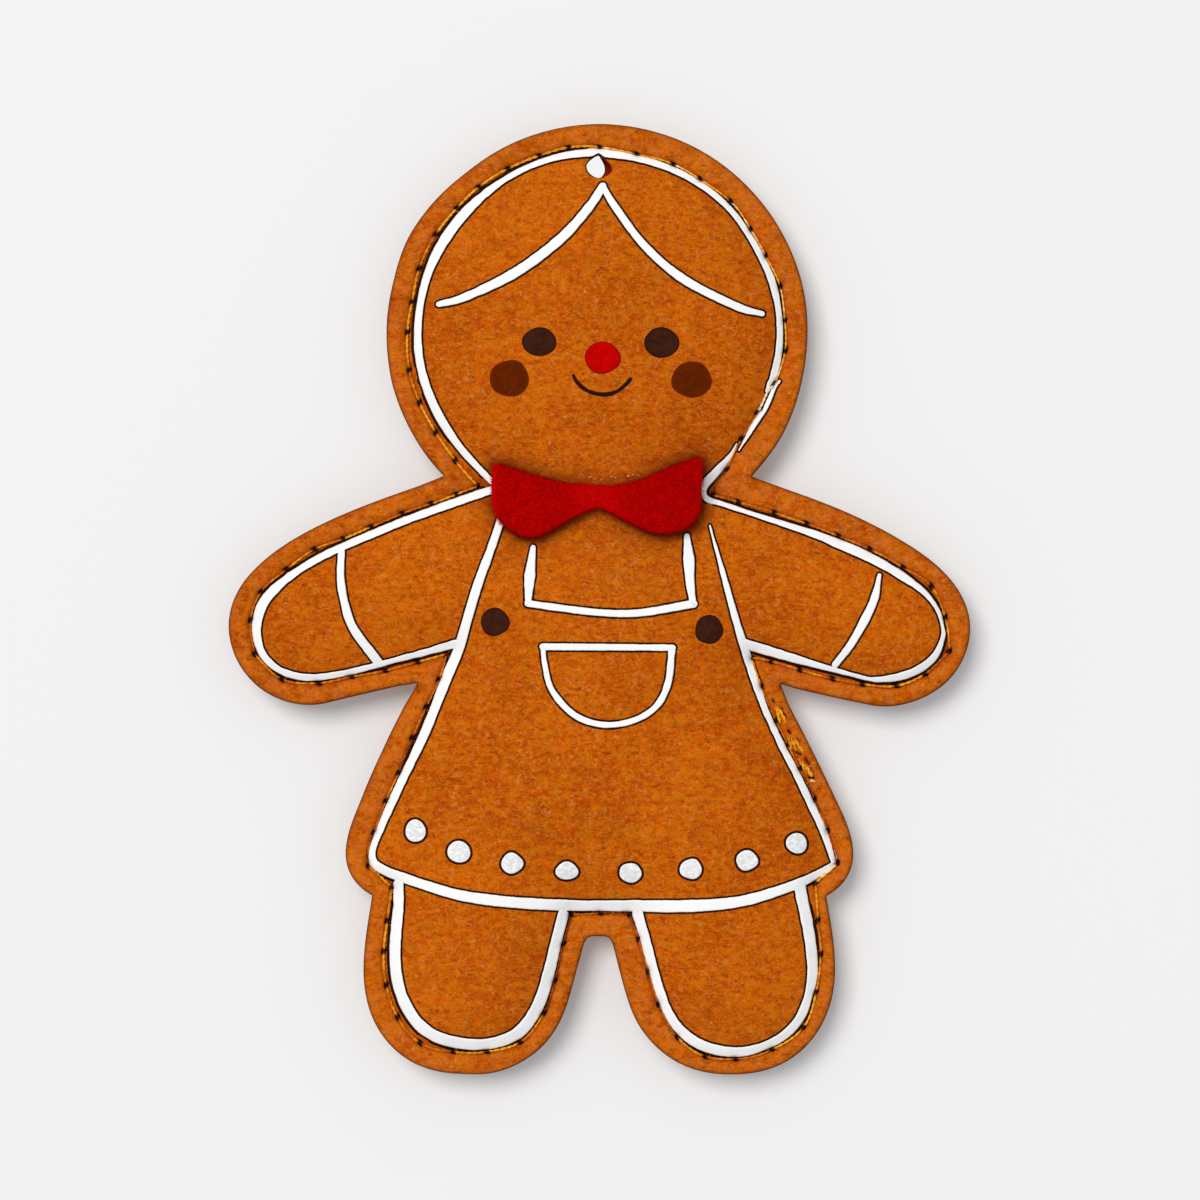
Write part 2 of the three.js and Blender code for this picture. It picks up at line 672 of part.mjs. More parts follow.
// One thread of the lockstitch on one face: it dips into the groove at each needle hole and lies on
// top in the middle of each stitch. The needle's thread ends in a second run outside the groove.
function seamThread(side, thickness, secondRun) {
  const stitches = seamLoop.length;
  const distances = seamLoop.map((p) => p.distanceTo(place(closingShares)));
  const start = distances.indexOf(Math.min(...distances));
  const onTop = thickness + threadRadius + inkGap;
  const dipped = onTop - channelDepth * (1 - threadDiameter / channelWidth);
  const rings = [];
  for (let stitch = 0; stitch < stitches + (secondRun ? closingStitches : 0); stitch++) {
    const from = seamLoop[(start + stitch) % stitches];
    const to = seamLoop[(start + stitch + 1) % stitches];
    const ahead = to.clone().sub(from).normalize();
    const outwards = new THREE.Vector2(-ahead.y, ahead.x);
    for (const part of [0, ...stitchRiseShares]) {
      const aside = THREE.MathUtils.clamp(stitch + part - (stitches - 1), 0, 1);
      const p = from.clone().lerp(to, part).addScaledVector(outwards, aside * secondRunOffset);
      const lift = part === 0 && aside === 0 ? dipped : onTop;
      rings.push({ p, outwards, lift: side * lift });
    }
  }
  return sweptThread(rings, side);
}

// A closed tube of triangular section, flat towards the felt, through rings that each give a place,
// a direction away from the figure and a y.
function sweptThread(rings, side) {
  const vertices = [];
  for (const { p, outwards, lift } of rings) {
    const foot = lift - side * threadRadius;
    const left = p.clone().addScaledVector(outwards, threadRadius);
    const right = p.clone().addScaledVector(outwards, -threadRadius);
    vertices.push(left.x, foot, left.y, right.x, foot, right.y, p.x, lift + side * threadRadius, p.y);
  }
  const turned = ([a, b, c]) => (side < 0 ? [a, b, c] : [a, c, b]);
  const corners = 3;
  const faces = [[0, 1, 2]];
  for (let ring = 0; ring + 1 < rings.length; ring++) {
    for (let i = 0; i < corners; i++) {
      const a = ring * corners + i;
      const b = ring * corners + ((i + 1) % corners);
      faces.push([a, a + corners, b + corners], [a, b + corners, b]);
    }
  }
  const end = (rings.length - 1) * corners;
  faces.push([end, end + 2, end + 1]);
  return new THREE.BufferGeometry()
    .setAttribute("position", new THREE.Float32BufferAttribute(vertices, 3))
    .setIndex(faces.map(turned).flat());
}

// The bow is a cut felt sheet that lies over the crown from side to side.
function bow() {
  const middle = place(bowShares);
  const local = ([across, up]) => (
    new THREE.Vector2((across * bowWidth) / 2, (up * bowHeight) / 2));
  const bowHalf = halfOutline(bowStartShares, bowHalfShares, local, bowPointSpacing).points;
  bowHalf[bowHalf.length - 1].x = 0;
  const outline = mirrored(bowHalf);
  const spine = [];
  const spineSteps = Math.ceil(bowWidth / stitchLength);
  for (let i = 1; i < spineSteps; i++) {
    const across = (i / spineSteps - 0.5) * bowWidth;
    spine.push(new THREE.Vector2(across, 0));
  }
  const turned = [outline, spine].map((list) => list.map((p) => (
    p.clone().rotateAround(new THREE.Vector2(), bowTilt).add(middle))));
  const sheet = filled(...turned);
  const restAt = (p) => {
    const levels = bowRestShares.map((up) => (
      frontSurface(new THREE.Vector2(p.x, middle.y + (up * bowHeight) / 2))));
    return Math.min(...levels) - bowLift;
  };
  return bodyBetween(sheet, (p) => restAt(p) - bowThickness, sheet, restAt);
}

function glueDot() {
  const outline = ellipse(place(bowShares), glueWidth, glueHeight);
  return toGeometry(film([outline], bowLift - 2 * inkGap));
}

addPiece("front_panel", feltPanel("front"), colours.felt);
addPiece("back_panel", feltPanel("back"), colours.felt);
addPiece("filling", fillingPad(), colours.filling);
addPiece("needle_thread", seamThread(-1, frontPanelThickness, true), colours.thread);
addPiece("bobbin_thread", seamThread(1, backPanelThickness, false), colours.thread);
addPrint();
addPiece("bow_tie", bow(), colours.redFelt);
addPiece("bow_glue", glueDot(), colours.glue);

export default ornament;
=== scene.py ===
"""The finish of a flat stuffed ornament: a gingerbread figure of two felt sheets sewn together.

Lengths are in millimetres in the row frame until a mesh is made: x to the right, z up, and the
printed front towards -Y. A "lift" is a height over the plane between the two sheets.
"""
import functools

import bmesh
import bpy
import numpy as np
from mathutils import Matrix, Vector
from mathutils.geometry import delaunay_2d_cdt


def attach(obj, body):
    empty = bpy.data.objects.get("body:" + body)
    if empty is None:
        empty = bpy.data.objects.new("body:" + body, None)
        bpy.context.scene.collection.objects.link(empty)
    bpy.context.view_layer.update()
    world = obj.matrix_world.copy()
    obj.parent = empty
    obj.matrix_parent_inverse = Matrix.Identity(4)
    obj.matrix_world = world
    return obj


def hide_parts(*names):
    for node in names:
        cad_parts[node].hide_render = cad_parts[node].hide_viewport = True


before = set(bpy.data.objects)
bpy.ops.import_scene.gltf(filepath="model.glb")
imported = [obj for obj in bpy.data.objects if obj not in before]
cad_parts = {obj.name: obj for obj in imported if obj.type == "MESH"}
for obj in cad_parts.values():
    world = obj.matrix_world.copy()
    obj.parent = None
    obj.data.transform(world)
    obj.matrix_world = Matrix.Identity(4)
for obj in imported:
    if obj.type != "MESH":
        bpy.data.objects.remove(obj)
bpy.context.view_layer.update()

MM = 0.001
TINY = 1e-6

# Sizes shared with the CAD part
HALF_WIDTH = 38.9
HEIGHT = 100.0
SOLE_Z = -95.3
THICKNESS = 1.2
CROWN = {"front": 3.4, "back": 2.8}
CROWN_REACH = 4.5
BACK_FLAT = 1.84
HOLE_FRONT_Y = -2.15
HOLE_BACK_Y = 2.1
BOW_THICKNESS = 1.3
BOW_LIFT = 0.4
BOW_FACE = 5.7

EDGE_SHARES = {
    "head_side": [(0.316, 1), (0.571, 0.904), (0.571, 0.785)],
    "neck": [(0.571, 0.728), (0.522, 0.673), (0.426, 0.63)],
    "shoulder": [(0.545, 0.613), (0.663, 0.598), (0.782, 0.573)],
    "fingers": [(0.9, 0.548), (1, 0.513), (1, 0.47)],
    "palm": [(1, 0.42), (0.862, 0.377), (0.728, 0.389)],
    "underarm": [(0.501, 0.408)],
    "skirt_side": [(0.655, 0.278)],
    "hem_corner": [(0.671, 0.265), (0.687, 0.248), (0.687, 0.232)],
    "hem_notch": [(0.687, 0.212), (0.658, 0.197), (0.616, 0.188)],
    "leg_side": [(0.625, 0.164), (0.637, 0.139), (0.637, 0.114)],
    "sole": [(0.637, 0.047), (0.528, 0), (0.358, 0)],
    "toe": [(0.216, 0), (0.127, 0.034), (0.09, 0.07)],
    "inner_leg": [(0.072, 0.087), (0.048, 0.124), (0.04, 0.136)],
    "crotch": [(0.035, 0.143), (0.027, 0.146), (0.016, 0.146)],
}

# The needle holes, clockwise from the top of the head.
NEEDLES = [
    (0.27, 2.06), (4.06, 1.34), (7.74, 0.33), (10.77, -1.37), (13.93, -3.7), (15.94, -6.52),
    (17.6, -9.46), (19.06, -12.6), (19.53, -16.01), (19.56, -19.29), (18.52, -22.6),
    (16.7, -25.72), (14.98, -28.56), (13.32, -31.78), (11.96, -34.41), (14.67, -35.13),
    (18.28, -36.2), (21.98, -37.46), (25.09, -38.66), (28.61, -40.17), (31.88, -41.96),
    (34.86, -43.92), (36.39, -47.36), (36.83, -50.79), (34.09, -53.27), (31.09, -54.44),
    (27.88, -54.25), (24.63, -53.68), (21.1, -52.72), (18.04, -51.81), (16.09, -51.47),
    (17.15, -54.63), (18.58, -57.99), (19.86, -60.59), (21.1, -63.03), (22.7, -66.41),
    (24.1, -69.77), (25.04, -73.04), (22.75, -75.04), (23.0, -78.83), (23.31, -82.41),
    (22.81, -86.53), (21.42, -90.3), (18.02, -92.62), (14.54, -93.52), (11.05, -93.21),
    (8.3, -91.27), (6.33, -87.88), (5.25, -84.45), (4.2, -80.93), (3.25, -78.3), (0.16, -78.24),
    (-2.86, -78.38), (-3.73, -81.57), (-4.56, -85.23), (-5.77, -88.8), (-8.13, -91.73),
    (-11.74, -92.77), (-15.37, -92.75), (-18.68, -91.87), (-21.11, -89.05), (-22.25, -85.76),
    (-22.52, -82.3), (-22.13, -78.88), (-21.65, -75.49), (-24.15, -73.27), (-23.58, -69.84),
    (-22.29, -66.5), (-20.93, -63.49), (-19.59, -60.03), (-18.07, -56.67), (-16.68, -53.62),
    (-15.91, -51.05), (-19.1, -51.93), (-22.34, -52.8), (-25.69, -53.42), (-29.41, -54.14),
    (-33.24, -53.69), (-36.09, -51.04), (-36.48, -47.53), (-35.32, -44.48), (-32.79, -42.27),
    (-29.91, -40.16), (-26.87, -39.03), (-23.69, -37.66), (-20.54, -36.32), (-17.41, -35.25),
    (-14.99, -34.36), (-12.64, -33.48), (-14.93, -30.87), (-17.05, -27.85), (-18.76, -24.67),
    (-19.83, -21.26), (-20.03, -17.41), (-19.51, -14.05), (-18.73, -10.52), (-17.11, -7.18),
    (-14.85, -4.34), (-12.35, -1.97), (-9.34, -0.1), (-5.98, 1.27), (-2.87, 2.08),
]
# Where the seam bends between two holes.
SEAM_BENDS = {(18.52, -22.6): (17.75, -23.5), (13.32, -31.78): (12.2, -33.2),
              (-24.15, -73.27): (-24.13, -71.7)}
# How the stitches look: the first hole of a run, the thread's tone (dark below 0, cream over 1) and
# its radius. Where it is thin, the felt has nearly closed over it. The tone is partly the thread's
# own shade and the print over it, partly painted highlight and shade.
STITCH_LOOKS = [
    (0, 1.1, 0.055), (10, 1.9, 0.08), (11, 0.2, 0.045), (13, -0.7, 0.05), (14, 0.25, 0.075),
    (30, 0.0, 0.055), (37, 1.3, 0.08), (38, 0.3, 0.07), (41, 1.1, 0.07), (43, 0.3, 0.07),
    (46, -0.4, 0.055), (55, 0.5, 0.075), (64, 0.5, 0.085), (65, -0.05, 0.055), (72, 0.3, 0.07),
    (78, -0.1, 0.055), (81, 0.3, 0.07), (88, 0.6, 0.08),
]
# The few stitches sewn beside the first at the right of the skirt: the ends and depth of each long
# needle hole, and the strands between them, with both ends, how far each rides over the felt, its
# tone and its radius.
# Each pit's depth also sets how dark it is painted, as painted shade in the hole.
LOCKING_PITS = [
    ((18.3, -55.85), (18.36, -56.1), 0.38), ((19.22, -56.75), (19.62, -57.55), 0.36),
    ((19.9, -59.1), (20.08, -59.32), 0.42), ((20.85, -59.92), (21.12, -60.25), 0.31),
    ((20.6, -61.3), (21.2, -61.62), 0.38), ((21.66, -62.0), (22.1, -62.62), 0.38),
    ((22.3, -63.02), (22.56, -63.45), 0.3), ((22.08, -64.02), (22.52, -64.02), 0.42),
]
# The strands' tones too are partly the thread's own shade, partly painted highlight and shade.
LOCKING_STRANDS = [
    ((18.6, -56.4), (19.07, -58.4), 0.0, 0.6, 0.1),
    ((18.85, -56.7), (19.68, -58.4), 0.04, 0.75, 0.1),
    ((19.38, -56.75), (20.1, -57.85), -0.06, -0.1, 0.075),
    ((19.82, -59.7), (20.3, -61.1), 0.0, 0.3, 0.09),
    ((20.14, -59.75), (20.8, -61.3), 0.03, 0.5, 0.08),
    ((20.45, -59.9), (21.55, -61.5), 0.04, 0.8, 0.1),
    ((20.95, -61.95), (21.72, -63.25), 0.0, 0.7, 0.11),
    ((21.3, -62.15), (22.05, -63.4), 0.03, 0.35, 0.08),
    ((21.75, -62.85), (22.42, -63.95), 0.05, 0.95, 0.1),
    ((22.2, -64.33), (22.72, -64.43), 0.02, 1.4, 0.08),
]
# How far the cut edge keeps inside the pattern's curve, along it from the top of the head.
EDGE_INSETS = [
    (0, 0.15), (10, 0.22), (19, 0.38), (25, 0.4), (32, 0.3), (40, 0.22), (46, 0.12), (50.5, 0.28),
    (53, 0.32), (60, 0.27), (68, 0.32), (75, 0.05), (79, -0.08), (86, -0.17), (91, 0.04), (99, 0),
    (103.5, 0.06), (105.5, 0.4), (110, 0.17), (115, 0.04), (123, -0.02), (128.5, 0.06), (132, 0),
    (140, -0.08), (148, -0.02), (154, 0.14), (161, -0.05), (166, -0.11), (174, 0), (182, 0.07),
    (189.5, -0.17), (196, -0.05), (199, 0.2), (205, 0), (211, 0), (217, 0.14), (227, 0.23),
    (233, 0.14), (238, -0.1), (243, -0.1), (246.5, 0.04), (249.5, 0.4), (255.5, 0.3), (265, 0.04),
    (271, 0.13), (277.5, -0.02), (287, 0.13), (299.5, 0.3), (303.5, 0.1), (312.5, -0.15),
    (317.5, -0.05), (323.5, 0.14), (328, 0), (331, 0.13), (337.5, 0.45), (344, 0.29), (353, 0.15),
]
# The hanging hole is a tear with its point up, and narrower behind: its outline where it opens in
# the front and in the back.
HOLE_FRONT_EDGE = [
    (-0.02, 1.16), (0.1, 1.1), (0.38, 0.93), (0.74, 0.67), (1.06, 0.38), (1.28, 0.08),
    (1.42, -0.28), (1.34, -0.6), (1.1, -0.84), (0.62, -1.13), (0.1, -1.3), (-0.3, -1.23),
    (-0.68, -1.02), (-1.06, -0.64), (-1.24, -0.13), (-1.2, 0.16), (-0.97, 0.5), (-0.5, 0.89),
    (-0.13, 1.1),
]
HOLE_BACK_EDGE = [
    (-0.05, 1.58), (0.03, 1.46), (0.17, 1.22), (0.31, 0.98), (0.45, 0.74), (0.56, 0.47),
    (0.62, 0.12), (0.57, -0.26), (0.42, -0.5), (0.28, -0.67), (0.08, -0.86), (-0.3, -1.02),
    (-0.85, -0.92), (-1.25, -0.5), (-1.42, 0.1), (-1.36, 0.65), (-1.0, 1.15), (-0.5, 1.48),
    (-0.15, 1.57),
]

# The print's middle lines, and the width of each at its ends and between them.
ICING = [
    [(-10.4, -33.75, 0.6), (-11.89, -32.29, 0.64), (-14.36, -29.61, 0.76), (-16.23, -26.94, 0.88),
     (-17.47, -24.55, 0.91), (-18.37, -22.03, 0.87), (-18.87, -19.39, 0.8),
     (-18.92, -16.65, 0.74), (-18.61, -14.02, 0.72), (-17.98, -11.49, 0.82),
     (-16.98, -9.11, 0.97), (-15.61, -6.86, 1.06), (-13.97, -4.8, 1.04), (-12.09, -3, 0.82),
     (-9.99, -1.43, 0.62), (-7.64, -0.14, 0.58), (-5.12, 0.81, 0.64), (-3.01, 1.28, 0.74),
     (-1.21, 1.47, 0.81), (0, 1.6, 0.86), (1.04, 1.39, 0.81), (3.04, 1.12, 0.76),
     (5.27, 0.6, 0.71), (7.8, -0.29, 0.68), (10.13, -1.5, 0.65), (12.27, -3.02, 0.62),
     (14.17, -4.88, 0.62), (15.7, -7.04, 0.62), (16.99, -9.28, 0.67), (18.07, -11.63, 0.74),
     (18.74, -14.19, 0.65), (19.02, -16.85, 0.64), (18.89, -19.55, 0.71), (18.35, -21.99, 0.76),
     (17.96, -22.75, 0.54), (17.72, -23.5, 0.41)],
    [(18.93, -22.5, 0.32), (18.52, -22.87, 0.46), (18.07, -23.94, 0.49), (17.49, -25.24, 0.5),
     (16.49, -26.7, 0.63), (15.69, -28.06, 0.43), (15.15, -28.97, 0.22), (14.72, -29.7, 0.12)],
    [(14.5, -29, 0.12), (13.99, -30.04, 0.38), (13.15, -31.12, 0.7), (12.11, -32.25, 0.91),
     (11.28, -33.14, 0.86), (11.01, -33.86, 0.65), (11.1, -34.52, 0.6), (11.65, -34.95, 0.59),
     (12.72, -35.24, 0.55), (15.68, -36.22, 0.47), (19.99, -37.61, 0.59), (22.88, -38.57, 0.78),
     (24.82, -39.36, 0.94), (27.5, -40.49, 0.98), (29.99, -41.77, 0.93), (32.27, -43.18, 0.79),
     (34.25, -44.7, 0.55), (35.59, -46.53, 0.4), (36.1, -48.36, 0.34), (36.09, -49.36, 0.46),
     (35.27, -51.27, 0.71), (33.59, -52.67, 0.81), (31.56, -53.44, 0.8), (29.53, -53.73, 0.58),
     (28.32, -53.67, 0.4), (26.76, -53.28, 0.39), (23.76, -52.47, 0.57), (21.07, -51.7, 0.79),
     (18.51, -50.95, 0.94), (15.4, -50.01, 1.02)],
    [(-10.6, -33.85, 0.82), (-11.41, -33.93, 0.84), (-15.96, -35.49, 0.85), (-17.66, -36.11, 0.8),
     (-20.58, -37.19, 0.79), (-23.41, -38.36, 0.8), (-26.12, -39.51, 0.78),
     (-28.76, -40.72, 0.77), (-31.19, -42.12, 0.73), (-33.35, -43.72, 0.9),
     (-34.99, -45.48, 1.08), (-35.73, -47.36, 1.02), (-35.81, -49.15, 0.92),
     (-35.2, -51.08, 0.76), (-33.69, -52.6, 0.69), (-31.7, -53.36, 0.73), (-29.71, -53.52, 0.7),
     (-26.97, -53.14, 0.65), (-23.97, -52.43, 0.61), (-20.97, -51.61, 0.56),
     (-18.28, -50.92, 0.65), (-15.07, -50.01, 0.85)],
    [(-9.9, -35.8, 0.83), (-10.35, -37.33, 0.81), (-11.3, -40.12, 0.84), (-12.59, -43.61, 0.95),
     (-13.65, -47.09, 0.98), (-14.67, -50.57, 1.05), (-15.96, -53.62, 1.12),
     (-17.13, -56.67, 0.98), (-18.24, -59.39, 0.97), (-19.57, -62.22, 0.89),
     (-20.51, -64.13, 0.86), (-21.83, -66.98, 0.87), (-23.03, -69.71, 0.78),
     (-23.69, -71.48, 0.76), (-23.74, -72.51, 0.85), (-23.32, -73.22, 0.93),
     (-22.07, -73.92, 0.96), (-20.84, -74.37, 1.01), (-18.35, -75.23, 1.01),
     (-14.62, -76.33, 1.08), (-10.49, -76.95, 1.15), (-6.37, -77.27, 1.16), (-2.22, -77.43, 1.1),
     (0.2, -77.45, 1.09), (4.28, -77.47, 1.22), (8.43, -77.5, 1.26), (12.58, -77.3, 1.2),
     (15.72, -76.82, 1.1), (18.83, -75.89, 1.01), (21.23, -75, 0.99), (23.01, -74.12, 0.78),
     (24.66, -73.1, 0.52)],
    [(11.68, -37.6, 0.17), (12.07, -39.11, 0.27), (12.54, -40.73, 0.38), (13.26, -43.36, 0.57),
     (14.29, -47.11, 0.71), (15.26, -50.31, 0.85), (16.22, -53.22, 0.87), (17.38, -56.62, 0.69),
     (17.98, -58, 0.64), (19.29, -60.81, 0.69), (20.73, -63.56, 0.73), (22.08, -66.4, 0.77),
     (23.39, -69.14, 0.79), (24.06, -70.85, 0.72), (24.64, -72.49, 0.78), (24.68, -73, 0.63)],
    [(-20.98, -75.2, 1.05), (-20.96, -77.42, 1.08), (-21.09, -78.73, 1.1), (-21.32, -81.76, 1.14),
     (-21.22, -84.39, 1.17), (-20.73, -86.61, 1.17), (-19.86, -88.49, 1.21),
     (-18.7, -90.01, 1.19), (-17.04, -91.15, 1.19), (-15.01, -91.76, 1.18), (-12.71, -92, 1.1),
     (-10.41, -91.69, 1.13), (-8.34, -90.7, 1.24), (-6.85, -88.89, 1.25), (-5.84, -86.69, 1.2),
     (-5.05, -83.9, 1.19), (-4.47, -81.41, 1.13), (-3.7, -78.4, 1.14)],
    [(4.1, -78.3, 1.1), (4.97, -81.29, 1.06), (5.57, -83.61, 1), (6.39, -86.33, 0.99),
     (7.21, -88.48, 0.98), (8.46, -90.36, 1.01), (10.3, -91.81, 1.1), (12.51, -92.59, 1.02),
     (14.99, -92.77, 1.02), (17.31, -92.17, 0.8), (19.37, -91.1, 0.9), (21.03, -89.34, 0.93),
     (21.95, -87.09, 0.85), (22.44, -84.58, 1.11), (22.28, -81.74, 1.14), (21.8, -78.81, 1.18),
     (21.34, -76.71, 1.19), (21.1, -75.3, 1.22)],
    [(-26.92, -40, 0.67), (-27.03, -43, 0.8), (-26.61, -45.71, 0.83), (-25.67, -48.42, 0.9),
     (-23.1, -51.9, 0.97)],
    [(29.45, -42.8, 0.37), (28.95, -45.16, 0.81), (28, -47.32, 0.91), (26.45, -50.05, 0.78),
     (24.8, -52.2, 0.65)],
]
HAIR = [
    [(0.44, -2.05, 0.8), (-0.94, -4.16, 0.92), (-3.96, -7.53, 1.02), (-8.69, -11.07, 1.04),
     (-14.01, -13.66, 0.84), (-16.73, -14.4, 0.6)],
    [(0.44, -2.05, 0.64), (1.78, -4.23, 0.75), (4.86, -8.3, 0.8), (8.94, -11.79, 0.88),
     (14.5, -14.63, 0.81), (17.15, -15.4, 0.56)],
]
BIB = [
    [(-6.85, -39.9, 0.55), (-7.19, -42.8, 1.13), (-7.39, -45.75, 0.62)],
    [(-7.39, -45.75, 0.73), (-4.9, -46.12, 0.72), (0.16, -46.72, 0.71), (4.36, -46.74, 0.77),
     (9.92, -45.8, 0.85)],
    [(9.92, -45.8, 0.69), (9.61, -43.61, 0.89), (9.47, -41.11, 1.17), (9.26, -38.7, 0.61)],
]
POCKET = [
    [(-5.83, -50.3, 0.73), (7.78, -50.4, 0.65)],
    [(-5.83, -50.3, 0.5), (-5.63, -52.12, 0.54), (-4.87, -54.86, 0.6), (-2.54, -57.44, 0.68),
     (0.45, -58.47, 0.63), (3.56, -58.07, 0.6), (6.01, -56.59, 0.63), (7.29, -54.11, 0.71),
     (7.7, -50.6, 0.7)],
]
SMILE = [
    [(-2.62, -21.86, 0.3), (-2.4, -22.35, 0.4), (-1.65, -23.15, 0.42), (-0.6, -23.68, 0.42),
     (0.6, -23.86, 0.46), (1.75, -23.62, 0.42), (2.7, -22.95, 0.4), (3.36, -22.24, 0.36)],
]

# Printed spots: the middle, the width and height, and how the outline departs from an ellipse, as
# (times round, depth, turn).
HEM_DOTS = [
    ((-19.18, -69.6), (2.05, 2.4), [(2, 0.03, 0.4), (3, 0.03, 1.1)]),
    ((-14.63, -71.8), (2.35, 2.3), [(2, 0.03, 0.9), (3, 0.02, 2.0)]),
    ((-9.06, -73.0), (2.25, 2.15), [(3, 0.04, 0.6), (4, 0.03, 0.0)]),
    ((-3.31, -73.8), (2.35, 1.85), [(3, 0.05, 1.5), (4, 0.02, 0.3)]),
    ((3.35, -74.0), (2.35, 2.0), [(2, 0.03, 2.2), (5, 0.02, 0.7)]),
    ((9.69, -73.6), (2.3, 2.1), [(3, 0.04, 2.6), (5, 0.02, 0.3)]),
    ((15.56, -72.7), (2.25, 2.1), [(3, 0.03, 0.3), (4, 0.03, 1.0)]),
    ((20.77, -70.9), (2.15, 2.15), [(2, 0.03, 1.2), (3, 0.03, 2.9)]),
]
EYES = {
    "left": ((-6.2, -18.33), (3.62, 3.0), [(3, 0.016, 2.2), (4, 0.012, 0.8)]),
    "right": ((6.62, -18.42), (3.66, 3.2), [(3, 0.012, 0.9), (4, 0.012, 0.1)]),
}
CHEEKS = {
    "left": ((-9.34, -22.17), (4.14, 3.86), [(3, 0.02, 2.8), (4, 0.016, 2.3), (5, 0.016, 0.2)]),
    "right": ((9.76, -22.3), (4.24, 3.8), [(3, 0.025, 2.1), (5, 0.014, 1.2)]),
}
BUTTONS = {
    "left": ((-10.85, -47.7), (3.0, 2.95), [(3, 0.03, 0.4), (4, 0.02, 1.0)]),
    "right": ((11.59, -48.5), (2.95, 3.05), [(3, 0.02, 1.3), (5, 0.02, 0.4)]),
}
NOSE = ((0.43, -20.0), (3.75, 3.35), [(3, 0.02, 0.3), (4, 0.015, 0.9)])

BOW_EDGE = [
    (-11.05, -31.32), (-10.92, -31.05), (-10.5, -31.06), (-9.73, -31.24), (-7.85, -31.9),
    (-5.99, -32.45), (-3.73, -33.02), (-1.31, -33.21), (1.13, -33.39), (2.99, -33.11),
    (4.87, -32.55), (6.75, -31.71), (8.62, -30.95), (9.91, -30.56), (10.5, -30.48),
    (10.83, -30.62), (10.95, -31.05), (10.97, -31.97), (10.85, -33.29), (10.85, -34.8),
    (10.68, -36.1), (10.3, -37.04), (9.55, -37.79), (8.62, -38.26), (7.12, -38.53),
    (5.81, -38.45), (4.5, -37.98), (3.19, -37.32), (1.88, -36.67), (0.75, -36.05), (0.01, -35.83),
    (-0.74, -35.94), (-2.25, -36.67), (-3.73, -37.5), (-5.23, -38.35), (-6.55, -38.88),
    (-7.85, -38.85), (-8.97, -38.35), (-9.73, -37.79), (-10.66, -36.85), (-11.04, -35.91),
    (-11.23, -34.8), (-11.27, -33.48), (-11.23, -32.36),
]

# Camera
VIEW_WIDTH = 125.8
SENSOR = 36.0
LENS = 120.0
VIEW_DISTANCE = VIEW_WIDTH * LENS / SENSOR
VIEW_X = 0.16
VIEW_Z = -45.4
CLIP_START = 0.01  # in metres
scene = bpy.context.scene
scene.view_settings.view_transform = "Standard"


def placed(name, data, place=(0, 0, 0), turn=(0, 0, 0)):
    """A new object of the scene, at a place in millimetres."""
    made = bpy.data.objects.new(name, data)
    made.location = np.multiply(place, MM)
    made.rotation_euler = turn
    scene.collection.objects.link(made)
    return made


camera_data = bpy.data.cameras.new("camera")
camera_data.lens = LENS
camera_data.sensor_width = SENSOR
camera_data.clip_start = CLIP_START
scene.camera = placed("camera", camera_data, (VIEW_X, -(VIEW_DISTANCE + THICKNESS), VIEW_Z),
                      (np.pi / 2, 0, 0))


# Plane geometry
def length_of(vectors):
    return np.hypot(vectors[..., 0], vectors[..., 1])


def unit(vectors):
    return vectors / length_of(vectors)[..., None]


def along_of(line):
    return np.concatenate([[0], np.cumsum(length_of(np.diff(line, axis=0)))])


def at_along(line, along, wanted):
    return np.stack([np.interp(wanted, along, line[:, c]) for c in (0, 1)], 1)


def circle(count):
    """The directions of points evenly round a circle."""
    angle = np.linspace(0, 2 * np.pi, count, endpoint=False)
    return np.stack([np.cos(angle), np.sin(angle)], 1)


def evenly(points, step, closed=False):
    """Points about a step apart along a line, its first and last points kept."""
    line = np.vstack([points, points[:1]]) if closed else np.asarray(points, float)
    along = along_of(line)
    count = max(2, int(np.ceil(along[-1] / step)))
    return at_along(line, along, np.linspace(0, along[-1], count + 1)[: count if closed else None])


def smoothed(points, step, closed=False):
    """A smooth curve through points, as points a step apart."""
    p = np.asarray(points, float)
    if len(p) == 2:
        return evenly(p, step)
    if closed:
        p = np.vstack([p[-1:], p, p[:2]])
    else:
        p = np.vstack([2 * p[0] - p[1], p, 2 * p[-1] - p[-2]])
    t = np.linspace(0, 1, 24, endpoint=False)[:, None]
    found = []
    for a, b, c, d in zip(p, p[1:], p[2:], p[3:]):
        found.append(b + 0.5 * t * ((c - a) + t * ((2 * a - 5 * b + 4 * c - d)
                                                   + t * (3 * (b - c) + d - a))))
    return evenly(np.vstack(found + ([] if closed else [p[-2:-1]])), step, closed)


def edge_of_figure(step):
    """The pattern's edge clockwise from the top of the head."""
    scale, sole = (HALF_WIDTH, HEIGHT), (0, SOLE_Z)
    half = [np.array([0.0, 1.0]) * scale + sole]
    t = np.linspace(0, 1, 200)[:, None]
    for shares in EDGE_SHARES.values():
        a, *q = half[-1], *(np.array(s) * scale + sole for s in shares)
        if len(q) == 1:
            curve = a + (q[0] - a) * t
        else:
            curve = (a * (1 - t) ** 3 + 3 * q[0] * t * (1 - t) ** 2 + 3 * q[1] * t * t * (1 - t)
                     + q[2] * t ** 3)
        half.extend(evenly(curve, step)[1:])
    right = np.array(half)
    return np.vstack([right, (right[1:] * (-1, 1))[::-1]])


def moved_inwards(loop, distance):
    """A clockwise loop's points moved inwards, with sharp corners kept sharp."""
    a, b = unit(loop - np.roll(loop, 1, 0)), unit(np.roll(loop, -1, 0) - loop)
    towards = np.stack([a[:, 1] + b[:, 1], -(a[:, 0] + b[:, 0])], 1)
    sharpness = 1 + (a * b).sum(1)
    return loop + towards * (distance / sharpness)[:, None]


def chunks(points, size=600):
    for start in range(0, len(points), size):
        yield slice(start, start + size)


